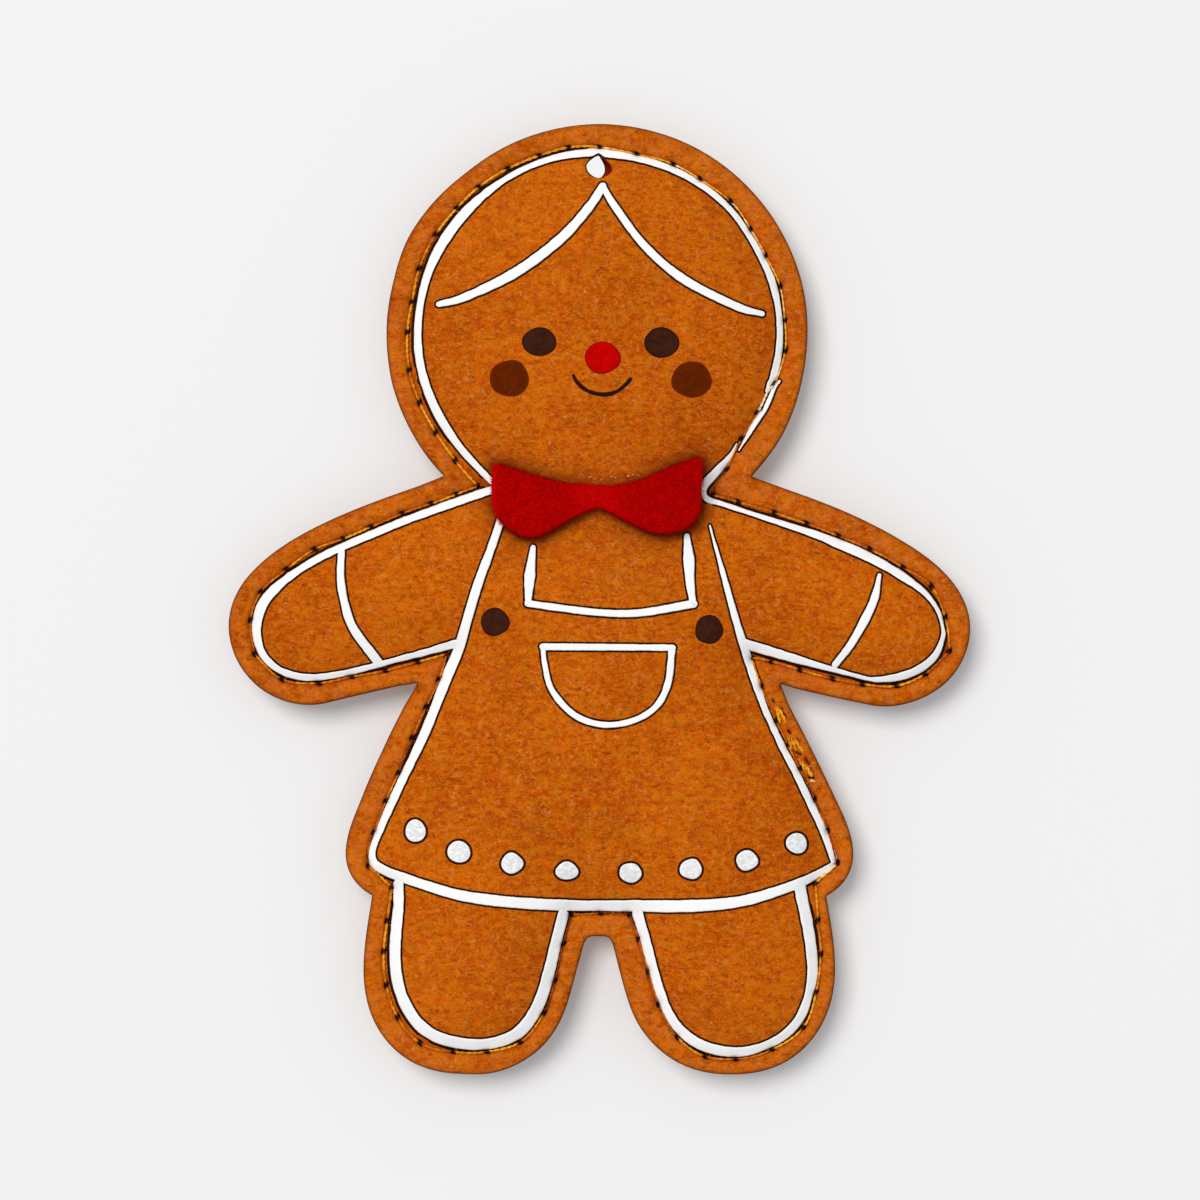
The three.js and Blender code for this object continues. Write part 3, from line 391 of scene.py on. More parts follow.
def nearest(points, loop):
    """For each point the distance to a closed loop, and the nearest place on it, as a side's number
    and a share of that side."""
    side = np.roll(loop, -1, 0) - loop
    square = np.maximum((side ** 2).sum(1), TINY)
    distance, place = np.empty((2, len(points)))
    for part in chunks(points):
        rel = points[part][:, None] - loop[None]
        t = np.clip((rel * side).sum(2) / square, 0, 1)
        off = ((rel - side * t[:, :, None]) ** 2).sum(2)
        best = off.argmin(1)
        rows = np.arange(len(best))
        distance[part] = np.sqrt(off[rows, best])
        place[part] = best + t[rows, best]
    return distance, place


def at_place(loop, place):
    """The points at some places on a closed loop."""
    number, share = place.astype(int) % len(loop), (place % 1)[:, None]
    return loop[number] * (1 - share) + np.roll(loop, -1, 0)[number] * share


def inside(points, loop):
    a, b = loop, np.roll(loop, -1, 0)
    rise = np.where(np.abs(b[:, 1] - a[:, 1]) < TINY, TINY, b[:, 1] - a[:, 1])
    found = np.empty(len(points), bool)
    for part in chunks(points):
        x, z = points[part][:, :1], points[part][:, 1:]
        crosses = ((a[:, 1] > z) != (b[:, 1] > z)) & (
            x < a[:, 0] + (z - a[:, 1]) * (b[:, 0] - a[:, 0]) / rise)
        found[part] = crosses.sum(1) % 2 == 1
    return found


def soft_distance(points, loop):
    """A distance in from a loop that rounds over, with no ridge, in the middle of a limb."""
    side = np.roll(loop, -1, 0) - loop
    length = length_of(side)
    along = side / length[:, None]
    found = np.empty(len(points))
    for part in chunks(points):
        rel = loop[None] - points[part][:, None]
        start = (rel * along).sum(2)
        off = np.maximum(np.abs(rel[:, :, 0] * along[:, 1] - rel[:, :, 1] * along[:, 0]), 1e-4)
        turn = np.arctan((start + length) / off) - np.arctan(start / off)
        found[part] = np.pi / (turn / off).sum(1)
    return found


def waves(points, scale, seed, count=9):
    """A smooth unevenness between about -1 and 1, with waves of about one length."""
    random = np.random.default_rng(seed)
    angle = random.uniform(0, 2 * np.pi, count)
    size = 2 * np.pi / (scale * random.uniform(0.7, 1.5, count))
    shift = random.uniform(0, 2 * np.pi, count)
    phase = points @ (np.stack([np.cos(angle), np.sin(angle)]) * size) + shift
    return np.cos(phase).sum(1) / np.sqrt(count) / 1.4


def grid_within(loop, step, margin):
    """Points of a staggered grid that lie more than a margin in from a loop."""
    low, high = loop.min(0), loop.max(0)
    rows = np.arange(low[1], high[1], step * np.sqrt(3) / 2)
    columns = np.arange(low[0], high[0], step)
    grid = np.vstack([np.stack([columns + (n % 2) * step / 2, np.full(len(columns), z)], 1)
                      for n, z in enumerate(rows)])
    return grid[inside(grid, loop) & (nearest(grid, loop)[0] > margin)]


def ring_within(loop, inset, every=1, clear=0.985):
    """A loop moved inwards, without the points that fold over at a tight bend."""
    ring = moved_inwards(loop, np.full(len(loop), inset))
    return ring[nearest(ring, loop)[0] > clear * abs(inset)][::every]


def thinned(rings, gap, seen):
    """The rings' points without those nearer than a gap to an earlier one. The cells of points
    taken before are in a set."""
    kept = []
    for x, z in np.vstack(rings):
        key = (int(np.floor(x / gap)), int(np.floor(z / gap)))
        if not any((key[0] + i, key[1] + j) in seen for i in (-1, 0, 1) for j in (-1, 0, 1)):
            seen.add(key)
            kept.append((x, z))
    return np.array(kept)


def meshed(rims, rings, gap, wanted=None):
    """A triangulated sheet within an outer rim and outside inner ones: its points, its faces, and
    each rim's numbers. All the rims' points come first, and the rings' are thinned to a gap. Then
    only those stay that are wanted."""
    first = np.vstack(rims)
    seen = {tuple(cell) for cell in np.floor(first / gap).astype(int).tolist()}
    others = thinned(rings, gap, seen)
    points = np.vstack([first, others[wanted(others)] if wanted else others])
    numbers = np.split(np.arange(len(first)), np.cumsum([len(rim) for rim in rims])[:-1])
    edges = [(int(a), int(b)) for rim in numbers for a, b in zip(rim, np.roll(rim, -1))]
    made = delaunay_2d_cdt([tuple(p) for p in points], edges, [], 0, 1e-7)
    number = [origins[0] for origins in made[3]]
    faces = np.array([[number[i] for i in face] for face in made[2]])
    unsure = (faces < len(first)).all(1)
    middles = points[faces[unsure]].mean(1)
    fine = inside(middles, rims[0])
    for rim in rims[1:]:
        fine &= ~inside(middles, rim)
    good = np.ones(len(faces), bool)
    good[unsure] = fine
    return points, faces[good], numbers


# The figure's loops
EDGE_STEP = 0.45
SEAM_STEP = 0.4
SHARP_TURN = 38  # degrees at a needle hole, from which the seam has a corner there
HOLE_SIDES = 40
SOFTENING = np.hanning(9) / np.hanning(9).sum()
edge_loop = edge_of_figure(EDGE_STEP)
insets = np.interp(along_of(edge_loop), *zip(*EDGE_INSETS))
insets = np.convolve(np.concatenate([insets[-4:], insets, insets[:4]]), SOFTENING, "valid")
edge_loop = moved_inwards(edge_loop, insets)
edge_count = len(edge_loop)
needle_points = np.array(NEEDLES)


def seam_path():
    """The seam: a curve through the needle holes with its sharp corners, and the holes' numbers."""
    through = np.array([p for hole in NEEDLES for p in (hole, SEAM_BENDS.get(hole)) if p])
    ahead = unit(np.roll(through, -1, 0) - through)
    turns = (ahead * np.roll(ahead, 1, 0)).sum(1)
    corners = np.flatnonzero(turns < np.cos(np.radians(SHARP_TURN)))
    through = np.roll(through, -corners[0], 0)
    corners = np.append(corners - corners[0], len(through))
    through = np.vstack([through, through[:1]])
    loop = np.vstack([smoothed(through[a:b + 1], SEAM_STEP)[:-1]
                      for a, b in zip(corners, corners[1:])])
    loop = np.roll(loop, -length_of(loop - NEEDLES[0]).argmin(), 0)
    return loop, length_of(needle_points[:, None] - loop[None]).argmin(1)


seam_loop, seam_holes = seam_path()
seam_along = along_of(np.vstack([seam_loop, seam_loop[:1]]))
needles = seam_along[seam_holes]
crown_loop = ring_within(seam_loop, 0.3, 2)
hole_loops = []
for outline in (HOLE_FRONT_EDGE, HOLE_BACK_EDGE):
    line = smoothed(outline, 0.04, closed=True)
    hole_loops.append(line[np.linspace(0, len(line), HOLE_SIDES, endpoint=False).astype(int)])

# The felt's surface
EDGE_ROUND = 0.35
GROOVE_DEPTH = 0.24
GROOVE_REACH = 0.26
PIT_DEPTH = 0.75
PIT_REACH = 0.25
PIT_LEAN = 0.25  # how far a pit's middle moves aside over its length
PIT_STRETCH = 0.65
LOCKING_PIT_REACH = 0.26
RIM_ROLL = 0.12
BUCKLE = 0.07  # of the felt beside the seam, between stitches
BUCKLE_MIDDLE = 0.75
BUCKLE_REACH = 0.5
HOLE_LIP = 0.14  # how far the felt turns in at the hanging hole
HOLE_LIP_REACH = 0.16
HOLE_MOUTH_DEPTH = 0.12
FLAT_BLEND = 0.12  # the height over which the back's crown turns flat
# The height and the length of the felt's waves. The first two grow with the distance from the seam,
# and the last with the distance from the cut edge.
FELT_WAVES = [(0.09, 15), (0.035, 5), (0.012, 1.6)]
WAVES_FROM_SEAM = 4
WAVES_FROM_EDGE = 0.5
CREASE = np.array([(15.5, -41.4), (15.9, -43.3), (16.7, -45.6)])
CREASE_DEPTH, CREASE_REACH = 0.09, 0.2
RIDGE_HEIGHT, RIDGE_AWAY, RIDGE_REACH, RIDGE_LIMIT = 0.05, 0.35, 0.25, 1.2
# How far each mark reaches that the felt's material reads.
MARK_REACH = {"bow_shade": 0.85, "edge": 0.15, "seam": 0.35, "rim": 1.2, "tear": 0.12}


def bell(distance, reach):
    return np.exp(-(distance / reach) ** 2)


def crown_at(points, side):
    """How far the stuffed felt stands out of the seam's plane."""
    found = np.zeros(len(points))
    within = inside(points, crown_loop)
    soft = np.sqrt(soft_distance(points[within], crown_loop) ** 2 + 0.04) - 0.2
    crown = CROWN[side] * (1 - np.exp(-np.maximum(soft, 0) / CROWN_REACH))
    if side == "back":
        crown = BACK_FLAT - np.log1p(np.exp((BACK_FLAT - crown) / FLAT_BLEND)) * FLAT_BLEND
        crown = np.maximum(crown, 0)
    found[within] = crown
    return found


def crease(points):
    """A short crease in the felt of the right arm, with a low ridge on its right."""
    line = smoothed(CREASE, 0.2)
    gap = points[:, None] - line[None]
    distance = length_of(gap)
    best = distance.argmin(1)
    rows = np.arange(len(points))
    near, aside = distance[rows, best], gap[rows, best, 0]
    fade = np.sin(np.pi * (best + 1) / (len(line) + 1))
    ridge = RIDGE_HEIGHT * bell(aside - RIDGE_AWAY, RIDGE_REACH) * (near < RIDGE_LIMIT)
    return fade * (ridge - CREASE_DEPTH * bell(near, CREASE_REACH))


def surface(points, side):
    """The outer lift of a felt sheet, and marks that its material reads: some of them are painted
    shade and a painted highlight.
    """
    front = side == "front"
    points = np.asarray(points, float)
    # q is how far in from the seam a point lies, and is less than 0 outside it.
    edge_gap, _ = nearest(points, edge_loop)
    seam_gap, place = nearest(points, seam_loop)
    q = np.where(inside(points, seam_loop), seam_gap, -seam_gap)
    number = place.astype(int) % len(seam_loop)
    along = seam_along[number] + (place % 1) * (seam_along[number + 1] - seam_along[number])
    order = np.searchsorted(needles, along)
    gap_before = (along - needles[order - 1]) % seam_along[-1]
    gap_after = (needles[order % len(needles)] - along) % seam_along[-1]
    phase = gap_before / np.maximum(gap_before + gap_after, TINY)
    past = np.where(gap_before < gap_after, gap_before, -gap_after)
    rim = np.clip(edge_gap / np.maximum(edge_gap + np.maximum(-q, 0), TINY), 0, 1)
    bend = np.clip(1 - edge_gap / EDGE_ROUND, 0, 1)
    middle = 0.5 - 0.5 * np.cos(2 * np.pi * phase)
    # Besides the dimple, the pit mark darkens the felt as painted shade in the needle holes.
    pit = bell(np.hypot(q - PIT_LEAN * past, PIT_STRETCH * past), PIT_REACH)
    if front:
        for a, b, depth in LOCKING_PITS:
            gap, _ = nearest(points, np.array([a, b]))
            pit = np.maximum(pit, depth * bell(gap, LOCKING_PIT_REACH))
    hole_gap, _ = nearest(points, hole_mouth(side))
    seed = 3 if front else 8
    lift = THICKNESS + crown_at(points, side)
    lift += np.where(q < 0, RIM_ROLL * np.sin(np.pi * rim), 0)
    lift -= EDGE_ROUND * (1 - np.sqrt(1 - bend ** 2))
    lift -= GROOVE_DEPTH * (1 - 0.35 * middle) * bell(q, GROOVE_REACH)
    lift += BUCKLE * (middle - 0.4) * bell(np.abs(q) - BUCKLE_MIDDLE, BUCKLE_REACH)
    lift -= PIT_DEPTH * pit
    lift -= HOLE_LIP * np.exp(-hole_gap / HOLE_LIP_REACH)
    broad, middling, fine = (height * waves(points, length, seed + n)
                             for n, (height, length) in enumerate(FELT_WAVES))
    lift += np.clip(q / WAVES_FROM_SEAM, 0, 1) * (broad + middling)
    lift += fine * np.clip(edge_gap / WAVES_FROM_EDGE, 0, 1)
    if front:
        lift += crease(points)
    # Painted shade on the felt round the bow, stronger towards its ends.
    bow_gap, _ = nearest(points, np.array(BOW_EDGE))
    to_ends = np.clip(0.55 + 0.06 * np.abs(points[:, 0]), 0, 1)
    reach = MARK_REACH
    # The seam mark is painted shade along the stitch groove.
    return lift, {"bow_shade": np.exp(-bow_gap / reach["bow_shade"]) * to_ends * front,
                  "edge": np.exp(-edge_gap / reach["edge"]), "pit": pit,
                  "seam": bell(q, reach["seam"]), "rim": np.clip(0.5 - q / reach["rim"], 0, 1),
                  "tear": bell(hole_gap, reach["tear"])}


# Meshes
PIT_RINGS = [(0, 1), (0.1, 6), (0.2, 9), (0.32, 10)]  # the radius and the number of points
HOLE_RINGS = (0.1, 0.22, 0.45, 0.8)
HOLE_CLEAR = 0.06  # between the hole's edge and the nearest points of an outer face
INNER_HOLE_CLEAR = 0.3
FILM_CLEAR = 1.04  # of the hole's size, inside which the print has no points
# Where a sheet's mesh has rings, in from the cut edge and in and out of the seam, which of their
# points it takes, and the spacing of the points between them.
SHEET_RINGS = {
    "front": ([0.05, 0.13, 0.26, 0.45, 0.75, 1.1, 1.5],
              [-0.45, -0.3, -0.18, -0.06, 0.06, 0.18, 0.3, 0.45, 0.7, 1.0, 1.4, 1.9, 2.5], 1, 0.9),
    "back": ([0.1, 0.28, 0.7, 1.3], [-0.35, -0.15, 0.02, 0.15, 0.35, 0.8, 1.5, 2.4], 2, 1.4),
}
INNER_RINGS = (1.0, 2.2, 3.4, 4.6)
SHEET_GAP = 0.055
INNER_LIFT = 0.015
INNER_INSET = 0.1
WALL_LEVELS = (0.62, 0.3, 0.12)
# The marks of a sheet's inner face and cut edge. The others are 0 there.
INNER_MARKS = {"edge": 0.7, "rim": 1.0}
HOLE_WALL_REACH = 2.2


def add_mesh(name, vertices, faces, slot, replaces=(), marks=None):
    """A piece of the ornament, from points in millimetres and faces."""
    mesh = bpy.data.meshes.new(name)
    mesh.from_pydata((np.asarray(vertices) * MM).tolist(), [], [list(map(int, f)) for f in faces])
    editable = bmesh.new()
    editable.from_mesh(mesh)
    bmesh.ops.recalc_face_normals(editable, faces=editable.faces)
    editable.to_mesh(mesh)
    editable.free()
    for mark, values in (marks or {}).items():
        mesh.attributes.new(mark, "FLOAT", "POINT").data.foreach_set("value", np.float32(values))
    mesh.shade_smooth()
    piece = placed(name, mesh)
    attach(piece, "root")
    if replaces:
        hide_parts(*replaces)
    mesh.materials.clear()
    mesh.materials.append(materials[slot])
    return piece


def joined(parts):
    """Parts joined into one: their points, their faces, and any further values of the points."""
    points, faces, *values = zip(*parts)
    starts = np.cumsum([0, *map(len, points)])
    faces = [[int(i) + start for i in face] for some, start in zip(faces, starts) for face in some]
    return np.vstack(points), faces, *map(np.concatenate, values)


def band(a, b):
    """Faces between two rings of points."""
    return list(zip(a, np.roll(a, -1), np.roll(b, -1), b))


def fan(ring, tip):
    return [(a, b, tip) for a, b in zip(ring, np.roll(ring, -1))]


def tube(rings, sides, start=0, tips=None):
    """Faces round a tube of rings of so many points. One face closes each end, or a fan does."""
    number = start + np.arange(rings * sides).reshape(rings, sides)
    ends = number[0, ::-1], number[-1]
    faces = [face for a, b in zip(number, number[1:]) for face in band(a, b)]
    if tips is None:
        return [*faces, *ends]
    return faces + [face for ring, tip in zip(ends, tips) for face in fan(ring, tip)]


def solid_between(front, back, sheets, rims, walls=()):
    """A closed mesh from two sheets of 3-D points, their faces, and their rims, which match point
    for point. Rings of new points make the wall between the outer rims."""
    start = len(front) + len(back)
    faces = [*sheets[0], *(sheets[1][:, ::-1] + len(front))]
    levels = start + np.arange(len(walls) * len(rims[0])).reshape(len(walls), len(rims[0]))
    for rim in rims:
        rings = [rim, *(levels if rim is rims[0] else []), rim + len(front)]
        for a, b in zip(rings, rings[1:]):
            faces += band(a, b)
    return np.vstack([front, back, *walls]), faces


def raised(points, lift, side="front"):
    """3-D points from plane points and lifts."""
    return np.stack([points[:, 0], -lift if side == "front" else lift, points[:, 1]], 1)


def hole_at(lift, side, grow=0.0):
    """The hanging hole's outline where it passes through a lift."""
    y = -lift if side == "front" else lift
    share = (y - HOLE_FRONT_Y) / (HOLE_BACK_Y - HOLE_FRONT_Y)
    loop = hole_loops[0] * (1 - share) + hole_loops[1] * share
    return loop + unit(loop) * grow


def hole_crown(side):
    return crown_at(np.zeros((1, 2)), side)[0]


def hole_mouth(side):
    """The hanging hole's outline where it opens in a sheet's outer face."""
    return hole_at(THICKNESS + hole_crown(side) - HOLE_MOUTH_DEPTH, side)


def seen_at(points, lift):
    """Plane points moved so that at a lift the camera sees them where the seam's plane has them."""
    middle = np.array([VIEW_X, VIEW_Z])
    shrink = 1 - (np.asarray(lift) - THICKNESS) / VIEW_DISTANCE
    return middle + (points - middle) * np.reshape(shrink, (-1, 1))


def clear_of_hole(points):
    """Points of a film moved out of the hanging hole, which is cut through it."""
    mouth = hole_mouth("front")
    wide = mouth.mean(0) + (mouth - mouth.mean(0)) * FILM_CLEAR
    within = inside(points, wide)
    if within.any():
        points[within] = at_place(wide, nearest(points[within], wide)[1])
    return points


def felt_sheet(side):
    """One felt sheet, crowned, with its cut edge, stitch groove, needle holes and hanging hole."""
    insets, offsets, every, spacing = SHEET_RINGS[side]
    crown = hole_crown(side)
    pits = needle_points
    if side == "front":
        share = np.linspace(0, 1, 4)[:, None]
        pits = np.vstack([pits] + [np.multiply(a, 1 - share) + np.multiply(b, share)
                                   for a, b, _ in LOCKING_PITS])
    grid = grid_within(edge_loop, spacing, INNER_RINGS[-1])
    rings = [pits + radius * c for radius, count in PIT_RINGS for c in circle(count)]
    rings += [hole_at(THICKNESS + crown, side, grow) for grow in HOLE_RINGS]
    rings += [ring_within(seam_loop, offset, every) for offset in offsets]
    rings += [ring_within(edge_loop, inset, every) for inset in insets]

    def in_felt(points):
        hole = hole_at(THICKNESS + crown, side, HOLE_CLEAR)
        return ~inside(points, hole) & inside(points, edge_loop)

    points, faces, rims = meshed([edge_loop, hole_mouth(side)], [*rings, grid], SHEET_GAP, in_felt)
    lift, marks = surface(points, side)
    inner_points, inner_faces, _ = meshed(
        [moved_inwards(edge_loop, np.full(edge_count, INNER_INSET)), hole_at(crown, side)],
        [*(ring_within(edge_loop, inset, 3) for inset in INNER_RINGS), grid[::2]], SHEET_GAP,
        lambda points: ~inside(points, hole_at(THICKNESS + crown, side, INNER_HOLE_CLEAR)))
    walls = [raised(edge_loop, np.full(edge_count, level), side) for level in WALL_LEVELS]
    vertices, all_faces = solid_between(
        raised(points, lift, side),
        raised(inner_points, crown_at(inner_points, side) + INNER_LIFT, side),
        (faces, inner_faces), rims, walls)
    rest = len(vertices) - len(points)
    marks = {mark: np.append(values, np.full(rest, INNER_MARKS.get(mark, 0.0)))
             for mark, values in marks.items()}
    # Painted shade: the hanging hole's wall is darker and redder all through.
    in_hole = np.hypot(vertices[:, 0], vertices[:, 2]) < HOLE_WALL_REACH
    marks["tear"][len(points):][in_hole[len(points):]] = 1.0
    return add_mesh(f"{side}_felt", vertices, all_faces, "felt", [f"{side}_panel"], marks)


# Print

# A line's film across: places as shares of its half width, and heights as shares of its top. Its
# foot is sunk a little in the felt.
ACROSS = np.array([-1, -1, -0.9, -0.72, -0.4, 0, 0.4, 0.72, 0.9, 1, 1, 0.5, 0, -0.5])
ACROSS_LIFT = np.array([-0.1, 0.55, 0.86, 1, 1, 1, 1, 1, 0.86, 0.55, -0.1, -0.5, -0.5, -0.5])
CAP = np.array([0.35, 0.65, 0.87, 0.97])
# A spot's film: the share of its rim and of its top at each ring, how deep its border is there, and
# the heights at its middle, above and below.
SPOT_RINGS = [(1, -0.1, 1), (1, 0.5, 1), (0.955, 0.85, 0.7), (0.88, 1, 0.25), (0.6, 1.03, 0),
              (0.3, 1.05, 0)]
SPOT_MIDDLE = (1.05, -0.1)
SPOT_SIDES = 44
LINE_STEP = 0.3
LEAST_WIDTH = 0.12
WANDER = [(0.04, 1.7), (0.03, 0.8)]  # of a line's width: how far, and over what length
# How high the films stand: the white and red ones, the border under the white, and the dark ones.
INK, RED_INK, KEY, DARK_INK, THIN_INK = 0.15, 0.1, 0.035, 0.06, 0.05
KEY_EXTRA = 0.2  # how far the border stands out round a line, and round a hem dot
DOT_EXTRA = 0.25
# A border beside the seam, partly the print's dark outline and partly painted shade of the stitch
# groove: how far it reaches at most and at least, how far it stops short of the seam, and how far
# past its reach a border is an even one. It is thinner at the hem's right corner.
SEAM_SHADE_REACH, SEAM_LEAST, SEAM_SHORT, SEAM_FAR = 0.3, 0.17, 0.02, 0.5
HEM_CORNER, HEM_REACH, HEM_LESS = (24.6, -71.6), 2.4, 0.13
# Dark lines over the white, painted shade: in the stitch groove where the seam crosses the
# print, and on the punched hole's cut side.
SEAM_SHADE_LINE = [(18.5, -22.5, 0.3), (18.15, -22.95, 0.26), (17.95, -23.6, 0.12),
                   (17.5, -24.6, 0.12), (17.08, -25.6, 0.14)]
HOLE_SHADE_LINE = [(-0.66, -0.98, 0.06), (-1.08, -0.62, 0.12), (-1.29, -0.06, 0.16), (-1.25, 0.28, 0.16),
             (-1.02, 0.64, 0.16), (-0.56, 1.03, 0.17), (-0.2, 1.26, 0.22), (0.02, 1.34, 0.28),
             (0.38, 1.12, 0.2), (0.74, 0.86, 0.12)]


def stroke(points, extra, top, seed, reach=0.0):
    """A drawn line's film: plane points, faces, the points' lifts over the felt and how dark they
    are. The line's points carry its width. A border lies under its line and is wider by an extra.
    On the seam's side it may reach on up to the thread, as painted shade of the stitch groove,
    and it thins at the hem's right corner."""
    points = np.array(points, float)
    line = smoothed(points[:, :2], LINE_STEP)
    along, rough = along_of(line), along_of(points[:, :2])
    width = np.interp(along, rough * along[-1] / rough[-1], points[:, 2])
    width += sum(depth * waves(line, length, seed + n) for n, (depth, length) in enumerate(WANDER))
    half = np.maximum(width, LEAST_WIDTH) / 2
    outer = half + extra
    # On the seam's side the border widens as painted shade of the stitch groove.
    if reach:
        gap, place = nearest(line, seam_loop)
        towards = (at_place(seam_loop, place) - line) / np.maximum(gap, 0.1)[:, None]
        least = SEAM_LEAST - HEM_LESS * bell(length_of(line - HEM_CORNER), HEM_REACH)
        near = np.clip(gap - SEAM_SHORT, half + least, half + reach)
        outer = np.where(gap > half + reach + SEAM_FAR, outer, near)
        line = line + towards * ((outer - half - extra) / 2)[:, None]
    half = (outer + half + extra) / 2
    ahead = unit(np.gradient(line, axis=0))
    start = line[0] - ahead[0] * half[0] * CAP[::-1, None]
    end = line[-1] + ahead[-1] * half[-1] * CAP[:, None]
    round_off = np.sqrt(1 - CAP ** 2)
    line = np.vstack([start, line, end])
    half = np.concatenate([half[0] * round_off[::-1], half, half[-1] * round_off])
    ahead = np.pad(ahead, ((len(CAP), len(CAP)), (0, 0)), "edge")
    normal = np.stack([-ahead[:, 1], ahead[:, 0]], 1)
    flat = line[:, None] + normal[:, None] * (half[:, None] * ACROSS)[:, :, None]
    lifts = np.tile(ACROSS_LIFT * top, len(line))
    return flat.reshape(-1, 2), tube(*flat.shape[:2]), lifts, np.ones(len(lifts))


def spot(middle, size, harmonics, extra, top):
    """A printed spot's film, as stroke() gives it."""
    sides = SPOT_SIDES
    angle = np.linspace(0, 2 * np.pi, sides, endpoint=False)
    radius = 1 + sum(depth * np.cos(times * angle + turn) for times, depth, turn in harmonics)
    rim = circle(sides) * size / 2 * radius[:, None] + extra * circle(sides)
    share, level, deep = np.array(SPOT_RINGS).T
    points = [*(middle + rim * s for s in share), [middle, middle]]
    end = len(share) * sides
    faces = tube(len(share), sides, 0, (end + 1, end))
    deep = np.clip(deep, 0.5 if extra else 0, 1)
    return (np.vstack(points), faces, np.append(np.repeat(level, sides), SPOT_MIDDLE) * top,
            np.append(np.repeat(deep, sides), [0, 0]))


def add_film(name, parts, slot, *replaces):
    """Films joined into one piece that follows the front's surface."""
    points, faces, lifts, deep = joined(parts)
    points = clear_of_hole(seen_at(points, surface(points, "front")[0]))
    felt, _ = surface(points, "front")
    add_mesh(name, raised(points, felt + lifts), faces, slot, replaces, {"deep": deep})


def lines(strokes, extra=0.0, top=INK, reach=0.0):
    return [stroke(points, extra, top, 20 + 3 * n, reach) for n, points in enumerate(strokes)]


def add_print():
    white = {"icing_outline": ICING, "hair_parting": HAIR, "bib_line": BIB, "pocket_line": POCKET}
    for node, strokes in white.items():
        add_film("white_" + node, lines(strokes), "white_ink", node)
    # The outline's border reaches on to the seam as painted shade of its groove.
    key = lines(ICING, KEY_EXTRA, KEY, SEAM_SHADE_REACH) + lines(HAIR + BIB + POCKET, KEY_EXTRA, KEY)
    key += [spot(*dot, DOT_EXTRA, KEY) for dot in HEM_DOTS]
    # Painted shade lines in the seam's groove and on the hanging hole's side.
    key += [stroke(line, 0, INK + 0.03, 5) for line in (SEAM_SHADE_LINE, HOLE_SHADE_LINE)]
    add_film("dark_outlines_and_shade", key, "dark_ink")
    for n, dot in enumerate(HEM_DOTS, 1):
        add_film(f"white_hem_dot_{n}", [spot(*dot, 0, INK)], "white_ink", f"hem_dot_{n}")
    for hand in ("left", "right"):
        for name, what, spots, top, slot, node in (
                ("dark", "eye", EYES, DARK_INK, "dark_ink", "eye"),
                ("brown", "cheek", CHEEKS, THIN_INK, "cheek_ink", "cheek"),
                ("dark", "button", BUTTONS, DARK_INK, "dark_ink", "strap_button")):
            add_film(f"{name}_{hand}_{what}", [spot(*spots[hand], 0, top)], slot, f"{hand}_{node}")
    add_film("red_nose", [spot(*NOSE, 0, RED_INK)], "red_ink", "nose")
    add_film("dark_smile", lines(SMILE, 0, THIN_INK), "dark_ink", "smile")


# Threads
PLY_SIDES = 6
THREAD_STEPS = 17
PLY_SPREAD = 0.92  # the plies' distance from the strand's middle, in their radii
TWIST_LENGTH = 3.4  # of thread, over which a strand's number of turns is counted
RISE_SHARE = 0.14  # of a stitch, in which it comes up out of its hole
# How far below a strand's top its painted shade is darkest, where it dives into its hole.
SUNK_DEPTH = 0.55  # under a strand's top, where it is darkest
BACK_LOOK = (0.5, 0.08)  # the tone and the radius of the stitches on the back
# How high a stitch of the seam rides over the sheet, how deep its ends dive and how far it may bow
# aside, and the same of the strands sewn beside it.
STITCH_RIDE, STITCH_DIVE, STITCH_BOW = 0.02, 0.8, 0.03
LOCKING_RIDE, LOCKING_DIVE, LOCKING_BOW = 0.17, 0.4, 0.06
ARCH = 0.05  # of a strand's middle over its ends
TONE_SPREAD = 0.35
TWISTS = (2.0, 3.2)
TURNS = (0, 6)


def strand(corners, top, dive, bow, radius, twist, turn):
    """Two plies twisted together from one needle hole to the next, as tubes. The strand comes up
    steeply out of a hole, lies on the felt, and goes down again."""
    corners = np.array(corners, float)
    t = np.linspace(0, 1, THREAD_STEPS)
    reach = along_of(corners)
    length = reach[-1]
    along = unit(corners[-1] - corners[0])
    aside = np.array([-along[1], along[0]])
    path = at_along(corners, reach, t * length) + aside * (bow * np.sin(np.pi * t))[:, None]
    rise = np.clip(np.minimum(t, 1 - t) / RISE_SHARE, 0, 1)
    lift = top - dive * (1 - rise * rise * (3 - 2 * rise)) + ARCH * np.sin(np.pi * t)
    across, up = radius * circle(PLY_SIDES).T
    vertices, faces = [], []
    for ply in (0, 1):
        angle = turn + np.pi * ply + 2 * np.pi * twist * t * length / TWIST_LENGTH
        centre = path + aside * (radius * PLY_SPREAD * np.cos(angle))[:, None]
        height = lift + radius * PLY_SPREAD * np.sin(angle)
        slope = np.gradient(height, t * length)[:, None]
        higher = up / np.hypot(1, slope)
        flat = (centre[:, None] + aside * across[:, None]
                - along * (higher * slope)[..., None]).reshape(-1, 2)
        vertices.append(np.stack([flat[:, 0], (height[:, None] + higher).ravel(), flat[:, 1]], 1))
        faces += tube(THREAD_STEPS, PLY_SIDES, ply * THREAD_STEPS * PLY_SIDES)
    # Painted shade on the thread where it dives into a needle hole.
    sunk_shade = np.tile(np.repeat(np.clip((lift.max() - lift) / SUNK_DEPTH, 0, 1), PLY_SIDES), 2)
    return np.vstack(vertices), faces, sunk_shade


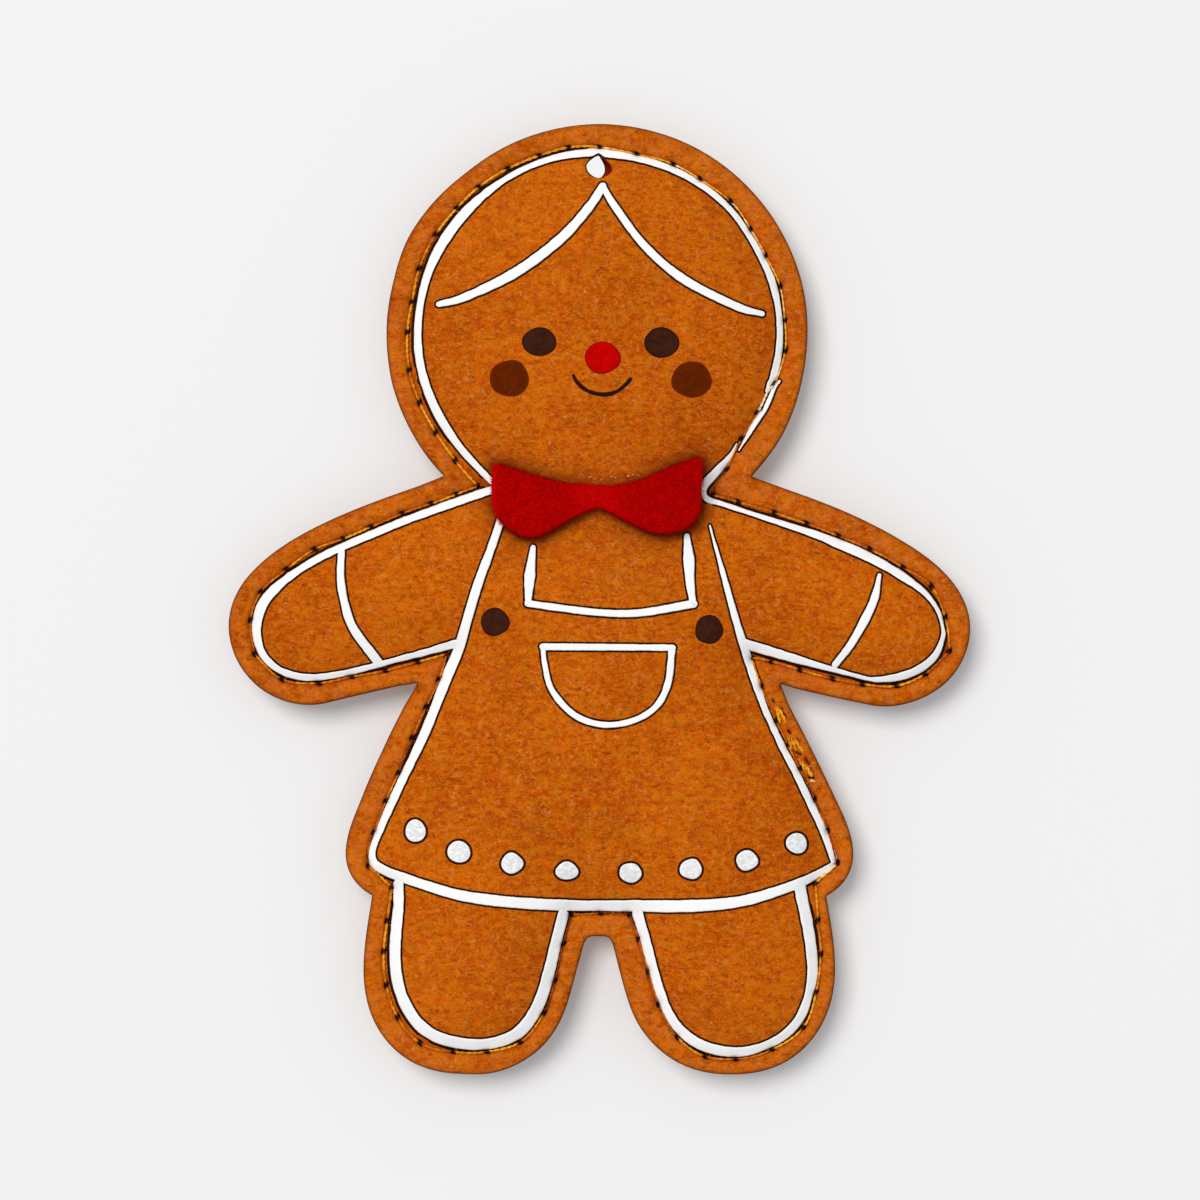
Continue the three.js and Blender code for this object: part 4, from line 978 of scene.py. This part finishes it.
def seam_thread(name, side, node, seed):
    """All the stitches on one face, with the few that are sewn over the seam's start."""
    random = np.random.default_rng(seed)
    jobs = []
    line = np.vstack([seam_loop, seam_loop[:1]])
    for n, (a, b) in enumerate(zip(seam_holes, [*seam_holes[1:], len(seam_loop)])):
        tone, radius = [look[1:] for look in STITCH_LOOKS if look[0] <= n][-1]
        if side == "back":
            tone, radius = BACK_LOOK
        jobs.append((line[a:b + 1], THICKNESS + STITCH_RIDE + radius / 2, STITCH_DIVE,
                     random.uniform(-STITCH_BOW, STITCH_BOW), radius,
                     tone + random.uniform(-TONE_SPREAD, TONE_SPREAD)))
    if side == "front":
        jobs += [([a, b], THICKNESS + LOCKING_RIDE + over, LOCKING_DIVE,
                  random.uniform(-LOCKING_BOW, LOCKING_BOW), radius, tone)
                 for a, b, over, tone, radius in LOCKING_STRANDS]
    parts = []
    for *how, tone in jobs:
        made = strand(*how, random.uniform(*TWISTS), random.uniform(*TURNS))
        parts.append((*made, np.full(len(made[0]), tone)))
    vertices, faces, sunk_shade, tones = joined(parts)
    if side == "front":
        vertices[:, 1] *= -1
    add_mesh(name, vertices, faces, "thread", [node], {"tone": tones, "sunk_shade": sunk_shade})


# Bow
BOW_RINGS = (0.04, 0.1, 0.18, 0.3, 0.5, 0.8)
BOW_STEP = 0.28  # between the points of its outline
BOW_GRID = 0.42  # between the points of its face
BOW_WAVES = [(0.03, 2.6), (0.018, 0.8)]  # the height and the length
BOW_MIDDLE_Z = -34.7
BOW_HALF_HEIGHT = 4.1
BOW_ROUND = 0.42
FACE_FIBRES = 1500
EDGE_FIBRES = 2200
FIBRE_RADIUS = 0.017
# Where the bow's ends start to look brighter, and how far its middle does: a painted highlight.
BOW_END = 10.2
BOW_MIDDLE = 2.6


def bow_piece():
    """The felt bow: a thick cut sheet over the crown, its edges soft and fuzzy."""
    outline = seen_at(smoothed(BOW_EDGE, BOW_STEP, closed=True), BOW_FACE)
    outline = outline + 0.02 * np.stack([waves(outline, 0.9, 51), waves(outline, 0.9, 52)], 1)
    rings = [ring_within(outline, inset, clear=0.95) for inset in BOW_RINGS]
    points, faces, rims = meshed([outline], [*rings, grid_within(outline, BOW_GRID, 0.9)], 0.03)
    distance, _ = nearest(points, outline)
    levels = []
    for share in (-1, -0.5, 0, 0.5, 1):
        z = np.full(len(points), BOW_MIDDLE_Z + share * BOW_HALF_HEIGHT)
        levels.append(THICKNESS + crown_at(np.stack([points[:, 0], z], 1), "front"))
    rest = np.max(levels, 0) + BOW_LIFT
    bend = np.clip(1 - distance / BOW_ROUND, 0, 1)
    soft = BOW_ROUND * (1 - np.sqrt(1 - bend ** 2))
    uneven = sum(height * waves(points, length, 61 + n)
                 for n, (height, length) in enumerate(BOW_WAVES))
    front = raised(points, rest + BOW_THICKNESS - soft + uneven)
    body = solid_between(front, raised(points, rest + soft * 0.6), (faces, faces), rims)
    fuzz = bow_fuzz(front, faces, outline, rest[rims[0]])
    # A darker cut edge, partly the felt's own and partly painted shade.
    edge = np.exp(-distance / 0.22)
    vertices, faces, edge = joined([(*body, np.tile(edge, 2)),
                                    (*fuzz, np.full(len(fuzz[0]), 0.5))])
    # Painted highlight at the bow's ends and in its middle.
    near_end = np.clip((np.abs(vertices[:, 0]) - BOW_END) / 0.5, 0, 1)
    bow_highlight = np.maximum(edge * near_end, 0.55 * bell(vertices[:, 0], BOW_MIDDLE))
    add_mesh("red_felt_bow", vertices, faces, "red_felt", ["bow_tie"],
             {"end": bow_highlight, "edge": edge * (1 - near_end)})


def bow_fuzz(front, faces, outline, rest):
    """Loose fibres on the bow's face and round its cut edge, as slim closed slivers."""
    random = np.random.default_rng(41)
    tri = front[faces]
    area = np.abs(np.cross((tri[:, 1] - tri[:, 0])[:, [0, 2]], (tri[:, 2] - tri[:, 0])[:, [0, 2]]))
    chosen = random.choice(len(tri), FACE_FIBRES, p=area / area.sum())
    mix = random.dirichlet((1, 1, 1), FACE_FIBRES)
    roots = (tri[chosen] * mix[:, :, None]).sum(1)
    angle = random.uniform(0, 2 * np.pi, FACE_FIBRES)
    reach = random.uniform(0.25, 0.7, FACE_FIBRES)
    rise = random.uniform(-0.02, 0.1, FACE_FIBRES)
    tips = roots + np.stack([np.cos(angle) * reach, -rise, np.sin(angle) * reach], 1)
    at = random.integers(0, len(outline), EDGE_FIBRES)
    along = unit(outline - np.roll(outline, 1, 0))[at]
    out = np.stack([-along[:, 1], along[:, 0]], 1)
    depth = random.uniform(0.1, BOW_THICKNESS - 0.15, EDGE_FIBRES)
    edge_roots = raised(outline[at], rest[at] + depth)
    push = out - random.normal(0, 0.7, EDGE_FIBRES)[:, None] * along
    push *= random.uniform(0.08, 0.36, EDGE_FIBRES)[:, None]
    rise = random.normal(0, 0.06, EDGE_FIBRES)
    roots = np.vstack([roots, edge_roots])
    tips = np.vstack([tips, edge_roots + np.stack([push[:, 0], rise, push[:, 1]], 1)])
    ahead = tips - roots
    ahead /= np.linalg.norm(ahead, axis=1)[:, None]
    side = np.cross(ahead, (0, 1, 0.2))
    side /= np.linalg.norm(side, axis=1)[:, None]
    across, up = side * FIBRE_RADIUS, np.cross(side, ahead) * FIBRE_RADIUS
    points = np.stack([roots + across, roots - across, roots + up, tips], 1).reshape(-1, 3)
    sliver = np.array([(0, 1, 3), (1, 2, 3), (2, 0, 3), (0, 2, 1)])
    return points, (4 * np.arange(len(roots))[:, None, None] + sliver).reshape(-1, 3)


# What is inside

# Where crumbs of glue came out over the bow's top edge, and how long each is.
GLUE_CRUMBS = [(-0.88, -32.6, 0.3), (-0.35, -32.85, 0.22), (0.3, -32.9, 0.24), (1.35, -32.55, 0.26),
               (1.75, -32.7, 0.2), (3.1, -32.5, 0.34), (3.62, -32.38, 0.3), (4.15, -32.42, 0.24)]
CRUMB_OUT = 0.04  # how far its middle stands out of the felt
CRUMB_DEPTH = 0.3
CRUMB_SHAPE = 0.45  # its height, of its length
GLUE_MIDDLE = (0, -3.99, -34.7)
GLUE_SIZE = (8.0, 0.44, 1.95)
WADDING_INSET = 1.0
WADDING_ROUND = 1.4
WADDING_LUMPS = 0.08  # of its thickness
WADDING_HOLE = 2.6  # how far the wadding stays from the hanging hole's middle
WADDING_GAP = {"front": 0.4, "back": 0.35}  # under the felt


def filling_piece():
    """The pad of wadding between the sheets, lumpy and soft-edged."""
    loop = ring_within(seam_loop, WADDING_INSET, 3)
    loop = loop[length_of(loop) > WADDING_HOLE]
    left, right = (np.arctan2(p[1], p[0]) for p in (loop[-1], loop[0]))
    under = np.linspace(left - 2 * np.pi if left > 0 else left, right, 16)[1:-1]
    under = under[::-1] if under[0] > under[-1] else under
    loop = np.vstack([loop, WADDING_HOLE * np.stack([np.cos(under), np.sin(under)], 1)])
    points, faces, rims = meshed([loop], [grid_within(loop, 1.5, 0.6)], 0.3)
    puff = np.clip(nearest(points, loop)[0] / WADDING_ROUND, 0, 1) ** 0.5
    puff *= 1 - WADDING_LUMPS * (1 + waves(points, 4, 71))
    sheets = [raised(points, 0.03 + np.maximum(crown_at(points, side) - gap, 0.02) * puff, side)
              for side, gap in WADDING_GAP.items()]
    return add_mesh("wadding", *solid_between(*sheets, (faces, faces), rims), "filling",
                    ["filling"])


def blob(middle, size, seed, rings=9, sides=18):
    """A lumpy rounded drop, in 3-D points and faces."""
    up = np.linspace(0, np.pi, rings)[1:-1]
    direction = [[(0, 0, 1)]]
    direction += [np.column_stack([np.sin(a) * circle(sides), np.full(sides, np.cos(a))])
                  for a in up]
    direction = np.vstack([*direction, [(0, 0, -1)]])
    grow = 1 + 0.12 * waves(direction[:, [0, 2]] * 2, 1.6, seed) + 0.06 * waves(
        direction[:, :2], 0.8, seed)
    faces = tube(len(up), sides, 1, (0, len(direction) - 1))
    return middle + direction * np.divide(size, 2) * grow[:, None], faces


def glue_crumbs():
    found = []
    for n, (x, z, size) in enumerate(GLUE_CRUMBS):
        lift, _ = surface([[x, z]], "front")
        shape = (size, CRUMB_DEPTH, size * CRUMB_SHAPE)
        found.append(blob((x, -lift[0] - CRUMB_OUT, z), shape, 84 + n, 6, 9))
    add_mesh("glue_crumbs", *joined(found), "glue")


# Materials
def colour(red, green, blue):
    """A linear colour from the three 8-bit numbers of a display colour."""
    share = np.array([red, green, blue]) / 255
    linear = np.where(share <= 0.04045, share / 12.92, ((share + 0.055) / 1.055) ** 2.4)
    return (*linear.tolist(), 1.0)


class Graph:
    """The nodes of a material or of the world. Lengths are in millimetres. Uniform values go on the
    Principled shader's own sockets."""

    def __init__(self, owner, **uniform):
        owner.use_nodes = True
        self.tree = owner.node_tree
        self.owner = owner
        self.shader = self.tree.nodes.get("Principled BSDF")
        self.feed(self.shader, {name.replace("_", " "): value for name, value in uniform.items()})

    def feed(self, node, inputs):
        for socket, value in inputs.items():
            if isinstance(value, bpy.types.NodeSocket):
                self.tree.links.new(value, node.inputs[socket])
            else:
                node.inputs[socket].default_value = value
        return node

    def node(self, kind, inputs=None, **settings):
        made = self.tree.nodes.new("ShaderNode" + kind)
        for setting, value in settings.items():
            setattr(made, setting, value)
        return self.feed(made, inputs or {})

    def maths(self, operation, a, b=0.0):
        return self.node("Math", {0: a, 1: b}, operation=operation).outputs[0]

    def times(self, a, b):
        return self.maths("MULTIPLY", a, b)

    @functools.cached_property
    def place(self):
        metres = self.node("TexCoord").outputs["Object"]
        return self.node("VectorMath", {0: metres, 1: (1 / MM,) * 3},
                         operation="MULTIPLY").outputs[0]

    def noise(self, size, detail=2.0, stretch=(1, 1, 1), roughness=0.5, shift=0.0, at=None):
        """A noise from 0 to 1 whose lumps are about so many millimetres across."""
        scale = tuple(1 / (size * s) for s in stretch)
        at = self.node("Mapping", {"Vector": at or self.place, "Scale": scale,
                                   "Location": (shift,) * 3}).outputs[0]
        return self.node("TexNoise", {"Vector": at, "Scale": 1.0, "Detail": detail,
                                      "Roughness": roughness}).outputs[0]

    def fibres(self, length, width, tilt, shift=0.0, thin=0.05):
        """Thin wandering lines, from 0 to 1, mostly along one tilt from the horizontal."""
        turned = self.node("VectorRotate", {"Vector": self.place, "Axis": (0, 1, 0),
                                            "Angle": float(np.radians(tilt))},
                           rotation_type="AXIS_ANGLE").outputs[0]
        lumps = self.noise(1, 1.0, (length, length, width), shift=shift, at=turned)
        return self.span(self.maths("ABSOLUTE", self.maths("SUBTRACT", lumps, 0.5)), thin, 0.0)

    def span(self, value, low, high, to_low=0.0, to_high=1.0, shape="SMOOTHSTEP"):
        """A value taken from one range to another, and held within it."""
        return self.node("MapRange", {"Value": value, "From Min": low, "From Max": high,
                                      "To Min": to_low, "To Max": to_high},
                         interpolation_type=shape).outputs[0]

    def mark(self, name):
        return self.node("Attribute", attribute_name=name).outputs["Fac"]

    def total(self, *weighted):
        """The sum of values times their weights."""
        found = self.times(*weighted[0])
        for value, weight in weighted[1:]:
            found = self.maths("ADD", found, self.times(value, weight))
        return found

    def mix(self, share, a, b):
        return self.node("Mix", {0: share, 6: a, 7: b}, data_type="RGBA").outputs[2]

    def layers(self, base, *laid):
        """A colour with others laid over it, each with its share and that share's weight."""
        for share, weight, over in laid:
            base = self.mix(self.times(share, weight), base, colour(*over))
        return base

    def blend(self, share, a, b):
        """Two shaders mixed."""
        return self.node("MixShader", {0: share, 1: a, 2: b}).outputs[0]

    def finish(self, base, rough, height, distance=0.1):
        """The shader's colour, roughness and bump, whose full height is in millimetres."""
        bump = self.node("Bump", {"Height": height, "Strength": 1.0, "Distance": distance * MM})
        self.feed(self.shader, {"Base Color": base, "Roughness": rough, "Normal": bump.outputs[0]})
        return self.owner


def look(name, **uniform):
    return Graph(bpy.data.materials.new(name), **uniform)


def felt_material():
    """Pressed brown felt: mottled in lightness and in hue, with pale and ruddy flecks, few dark
    specks, and a darker cut edge. It has painted shade round the bow, along the seam's groove, in
    the needle holes and in the hanging hole, and a painted highlight in patches on the rim."""
    g = look("felt_brown", Sheen_Weight=0.04, Sheen_Roughness=0.5, Sheen_Tint=colour(255, 150, 60),
             Specular_IOR_Level=0.05)
    patchy = g.noise(2.6, 3, shift=3)
    grain = g.noise(0.6, 3, (1.35, 1.35, 0.85), 0.7, shift=7)
    dust = g.noise(0.22, 1, (1.25, 1.25, 0.85), shift=11)
    tone = g.total((g.noise(14, 2), 0.3), (patchy, 0.2), (grain, 0.85), (dust, 0.5))
    hue = g.noise(1.0, 3, (1.6, 1.6, 0.8), 0.7, shift=17)
    flecks = [g.times(g.fibres(length, 0.4, tilt, shift), g.span(g.noise(size, 2, shift=other), low,
                                                                 low + 0.12))
              for length, tilt, shift, size, other, low in (
                  (1.1, 8, 5, 0.6, 21, 0.52), (1.0, -38, 15, 0.7, 31, 0.55),
                  (0.9, 62, 25, 0.7, 35, 0.55))]
    specks = g.noise(0.7, 1, (1.3, 1.3, 0.8), shift=41)
    # Painted highlight: pale patches on the rim round the seam and on the cut edge.
    rim_highlight = g.times(g.mark("rim"), g.span(g.noise(1.3, 2, shift=51), 0.42, 0.62))
    base = g.layers(
        g.mix(g.span(tone, 0.67, 1.18), colour(158, 62, 0), colour(218, 110, 6)),
        (g.span(hue, 0.5, 0.64), 0.36, (196, 114, 12)),
        (g.span(hue, 0.5, 0.36), 0.36, (196, 72, 8)),
        (flecks[0], 0.48, (232, 148, 76)),
        (flecks[1], 0.46, (230, 140, 66)),
        (flecks[2], 0.44, (228, 134, 58)),
        (g.span(specks, 0.67, 0.75), 0.5, (124, 36, 0)),
        # Painted highlight on the rim.
        (rim_highlight, 0.26, (216, 120, 52)),
        # Painted shade along the stitch groove.
        (g.mark("seam"), 0.2, (140, 56, 4)),
        # Painted shade round the bow.
        (g.mark("bow_shade"), 0.95, (104, 30, 2)),
        (g.mark("edge"), 0.9, (74, 28, 3)),
        # Painted shade in the needle holes.
        (g.span(g.mark("pit"), 0.17, 0.42), 1.0, (36, 10, 1)),
        # Painted shade in the hanging hole and at its lip.
        (g.span(g.mark("tear"), 0.3, 0.9), 1.0, (150, 34, 4)))
    rough = g.span(g.total((grain, 0.6), (patchy, 0.4)), 0.3, 0.7, 0.82, 0.97)
    height = g.total((grain, 0.5), (dust, 0.2), (flecks[0], 0.3), (patchy, 0.5))
    return g.finish(base, rough, height)


def matted(g, length, width, tilts, turn, thin=0.05):
    """Fibres that cross each other."""
    hairs = [g.fibres(length, width, tilt, tilt / turn, thin) for tilt in tilts]
    return g.total(*((hair, 0.4) for hair in hairs))


def red_felt_material():
    """Thick red felt: matted short fibres, its cut edge darker, partly as painted shade, and
    brighter at the bow's ends and middle as painted highlight.
    """
    g = look("felt_red", Sheen_Weight=0.04, Sheen_Roughness=0.5, Sheen_Tint=colour(255, 20, 20),
             Specular_IOR_Level=0.02)
    grain = g.noise(0.34, 3, roughness=0.6, shift=5)
    hairs = matted(g, 1.1, 0.3, (15, 75, -50), 7)
    tone = g.total((g.noise(1.4, 3, shift=2), 0.5), (grain, 0.8), (hairs, 0.3))
    # The cut edge darker, partly painted shade; the ends and middle brighter as painted highlight.
    base = g.layers(g.mix(g.span(tone, 0.5, 1.15), colour(166, 0, 0), colour(207, 0, 0)),
                    (g.mark("edge"), 0.6, (112, 0, 0)), (g.mark("end"), 0.6, (234, 4, 4)))
    return g.finish(base, g.span(grain, 0.3, 0.7, 0.86, 0.98), g.total((grain, 0.6), (hairs, 0.6)))


def ink_material(name, low, high, rough, border=None, thin=None):
    """A film of print: its colour wanders a little, and the felt's grain shows through. Its "deep"
    mark darkens it to a border's colour, or it is speckled where the mark is low."""
    g = look(name, Specular_IOR_Level=0.015)
    patchy = g.noise(0.9, 3, shift=4)
    grain = g.noise(0.3, 2, (1.5, 1.5, 0.8), shift=9)
    tone = g.total((patchy, 0.55), (grain, 0.45))
    base = g.mix(g.span(tone, 0.34, 0.66), colour(*low), colour(*high))
    if border:
        ragged = g.maths("ADD", g.mark("deep"), g.span(grain, 0.3, 0.7, -0.25, 0.25))
        base = g.layers(base, (g.span(ragged, 0.2, 0.8), 1.0, border))
    if thin:
        base = g.layers(base, (g.span(g.mark("deep"), 0.8, 0.1), g.span(grain, 0.35, 0.6), thin))
    return g.finish(base, g.span(tone, 0.35, 0.65, *rough),
                    g.total((grain, 0.7), (patchy, 0.5)), 0.04)


def thread_material():
    """Sewing thread: each stitch a shade of its own, from dark through golden to cream, partly
    its own colour and the print over it and partly painted highlight and shade, with fine lint,
    and darker where it goes down into the felt, as painted shade."""
    g = look("thread_golden", Sheen_Weight=0.05, Sheen_Roughness=0.4,
             Sheen_Tint=colour(255, 200, 110), Specular_IOR_Level=0.12)
    lint = g.noise(0.16, 2, (2.0, 2.0, 0.8), shift=3)
    tone = g.total((g.mark("tone"), 0.75), (lint, 0.6), (g.noise(1.1, 2, shift=13), 1.6),
                   (-0.8, 1.0))
    # The cream and dark tones are partly the thread's own, partly painted highlight and shade.
    base = g.layers(g.mix(g.span(tone, 0.2, 1.05), colour(204, 98, 12), colour(250, 172, 30)),
                    (g.span(tone, 1.05, 1.6), 1.0, (250, 226, 180)),
                    (g.span(tone, 0.15, -0.1), 1.0, (120, 52, 4)),
                    # Painted shade where the thread goes down into its hole.
                    (g.mark("sunk_shade"), 0.95, (40, 14, 2)))
    return g.finish(base, g.span(lint, 0.3, 0.7, 0.6, 0.8), lint, 0.03)


def wadding_material():
    g = look("wadding_white", Sheen_Weight=0.3, Sheen_Roughness=0.6, Specular_IOR_Level=0.2)
    tone = g.total((matted(g, 3, 0.7, (10, 70, -40), 9, 0.06), 1.0), (g.noise(1.5, 3), 0.5))
    base = g.mix(g.span(tone, 0.2, 0.9), colour(214, 208, 198), colour(246, 243, 236))
    return g.finish(base, g.span(tone, 0.2, 0.8, 0.85, 0.98), tone, 0.3)


def glue_material():
    g = look("glue_dry", Specular_IOR_Level=0.5, Subsurface_Weight=0.1, Subsurface_Scale=0.0004)
    cloudy = g.noise(0.8, 3)
    base = g.mix(g.span(cloudy, 0.35, 0.65), colour(224, 150, 118), colour(240, 190, 160))
    return g.finish(base, g.span(cloudy, 0.3, 0.7, 0.25, 0.45), cloudy)


# Lights, camera ray background and floor
PALE = (0.904, 0.904, 0.904, 1)
# The world's light from in front and from behind. It is a little cool and the key a little warm:
# together they are neutral.
WORLD_LIGHT = (0.5, 0.2)
WORLD_COLOUR = (0.95, 1.0, 1.055, 1)
# Each lamp's place from the middle of the view, its size, its power in watts and its colour.
LAMPS = {"key": ((-920, -2860, 960), 1450, 63.5, (1.04, 1.0, 0.957)),
         "fill_behind": ((600, 1400, 300), 1000, 3.0, (1, 1, 1))}
BACKDROP_Y = 3.8
PLAIN_SHARE = 0.13  # of the backdrop that keeps its plain colour, in shadow too
# From the hanging hole's middle: all is plain as far as the first, and that share past the second.
PLAIN_RADIUS = (2, 3)
FLOOR_Z = -112.0
STAGE_HALF = 900


def world_light():
    """A soft world that camera, glossy and transmission rays see pale, whatever its light."""
    scene.world = bpy.data.worlds.new("studio")
    g = Graph(scene.world)
    ahead = g.node("SeparateXYZ", {0: g.node("TexCoord").outputs["Generated"]}).outputs["Y"]
    light = g.feed(g.tree.nodes["Background"], {
        "Color": WORLD_COLOUR, "Strength": g.span(ahead, -1, 1, *WORLD_LIGHT, "LINEAR")})
    rays = g.node("LightPath").outputs
    seen = rays["Is Camera Ray"]
    for other in ("Is Glossy Ray", "Is Transmission Ray"):
        seen = g.maths("MAXIMUM", seen, rays[other])
    pale = g.node("Background", {"Color": PALE})
    g.feed(g.tree.nodes["World Output"],
           {"Surface": g.blend(seen, light.outputs[0], pale.outputs[0])})


def lamp(name, place, size, power, tint):
    data = bpy.data.lights.new(name, "AREA")
    data.size = size * MM
    data.energy = power
    data.color = tint
    placed(name, data, np.add((VIEW_X, 0, VIEW_Z), place),
           Vector(-np.array(place, float)).to_track_quat("-Z", "Y").to_euler())


def stage_plane(name, corners, material):
    mesh = bpy.data.meshes.new(name)
    mesh.from_pydata((np.array(corners, float) * MM).tolist(), [], [(0, 1, 2, 3)])
    mesh.materials.append(material)
    made = placed(name, mesh)
    made.visible_diffuse = False
    return made


def backdrop():
    """A pale sheet just behind the ornament. It takes the shadow, keeps a plain share of its colour
    in it, all of it behind the hanging hole, and is clear from behind."""
    g = look("backdrop_pale")
    g.tree.nodes.remove(g.shader)
    gap = g.node("VectorMath", {0: g.node("TexCoord").outputs["Object"],
                                1: (0, BACKDROP_Y * MM, 0)}, operation="DISTANCE")
    share = g.span(gap.outputs["Value"], *(radius * MM for radius in PLAIN_RADIUS), 1,
                   PLAIN_SHARE, "LINEAR")
    even = g.blend(share, g.node("BsdfDiffuse", {"Color": PALE}).outputs[0],
                   g.node("Emission", {"Color": PALE}).outputs[0])
    behind = g.node("NewGeometry").outputs["Backfacing"]
    g.feed(g.tree.nodes["Material Output"],
           {"Surface": g.blend(behind, even, g.node("BsdfTransparent").outputs[0])})
    made = stage_plane("backdrop", [(x, BACKDROP_Y, z) for x, z in (
        (-STAGE_HALF, FLOOR_Z), (STAGE_HALF, FLOOR_Z), (STAGE_HALF, STAGE_HALF),
        (-STAGE_HALF, STAGE_HALF))], g.owner)
    made.visible_shadow = made.visible_glossy = made.visible_transmission = False


def floor():
    g = look("floor_pale", Base_Color=PALE, Roughness=0.9, Specular_IOR_Level=0.1)
    stage_plane("floor", [(x * STAGE_HALF, y * STAGE_HALF, FLOOR_Z)
                          for x, y in ((-1, -1), (1, -1), (1, 1), (-1, 1))], g.owner)


# The ornament
MATT = (0.6, 0.8)  # the range of roughness
materials = {
    "felt": felt_material(),
    "filling": wadding_material(),
    "thread": thread_material(),
    "white_ink": ink_material("print_white", (251, 251, 251), (255, 255, 255), MATT,
                              thin=(226, 226, 229)),
    "dark_ink": ink_material("print_dark", (52, 24, 13), (68, 34, 22), MATT, (42, 18, 5)),
    "cheek_ink": ink_material("print_brown", (84, 27, 0), (102, 35, 2), MATT, (104, 38, 2)),
    "red_ink": ink_material("print_red", (178, 0, 0), (206, 0, 0), (0.55, 0.7), (150, 0, 0)),
    "red_felt": red_felt_material(),
    "glue": glue_material(),
}
felt_sheet("front")
felt_sheet("back")
filling_piece()
seam_thread("needle_stitches", "front", "needle_thread", 11)
seam_thread("bobbin_stitches", "back", "bobbin_thread", 12)
add_print()
bow_piece()
add_mesh("glue_dab", *blob(GLUE_MIDDLE, GLUE_SIZE, 81, 11, 30), "glue", ["bow_glue"])
glue_crumbs()
world_light()
for name, settings in LAMPS.items():
    lamp(name, *settings)
backdrop()
floor()
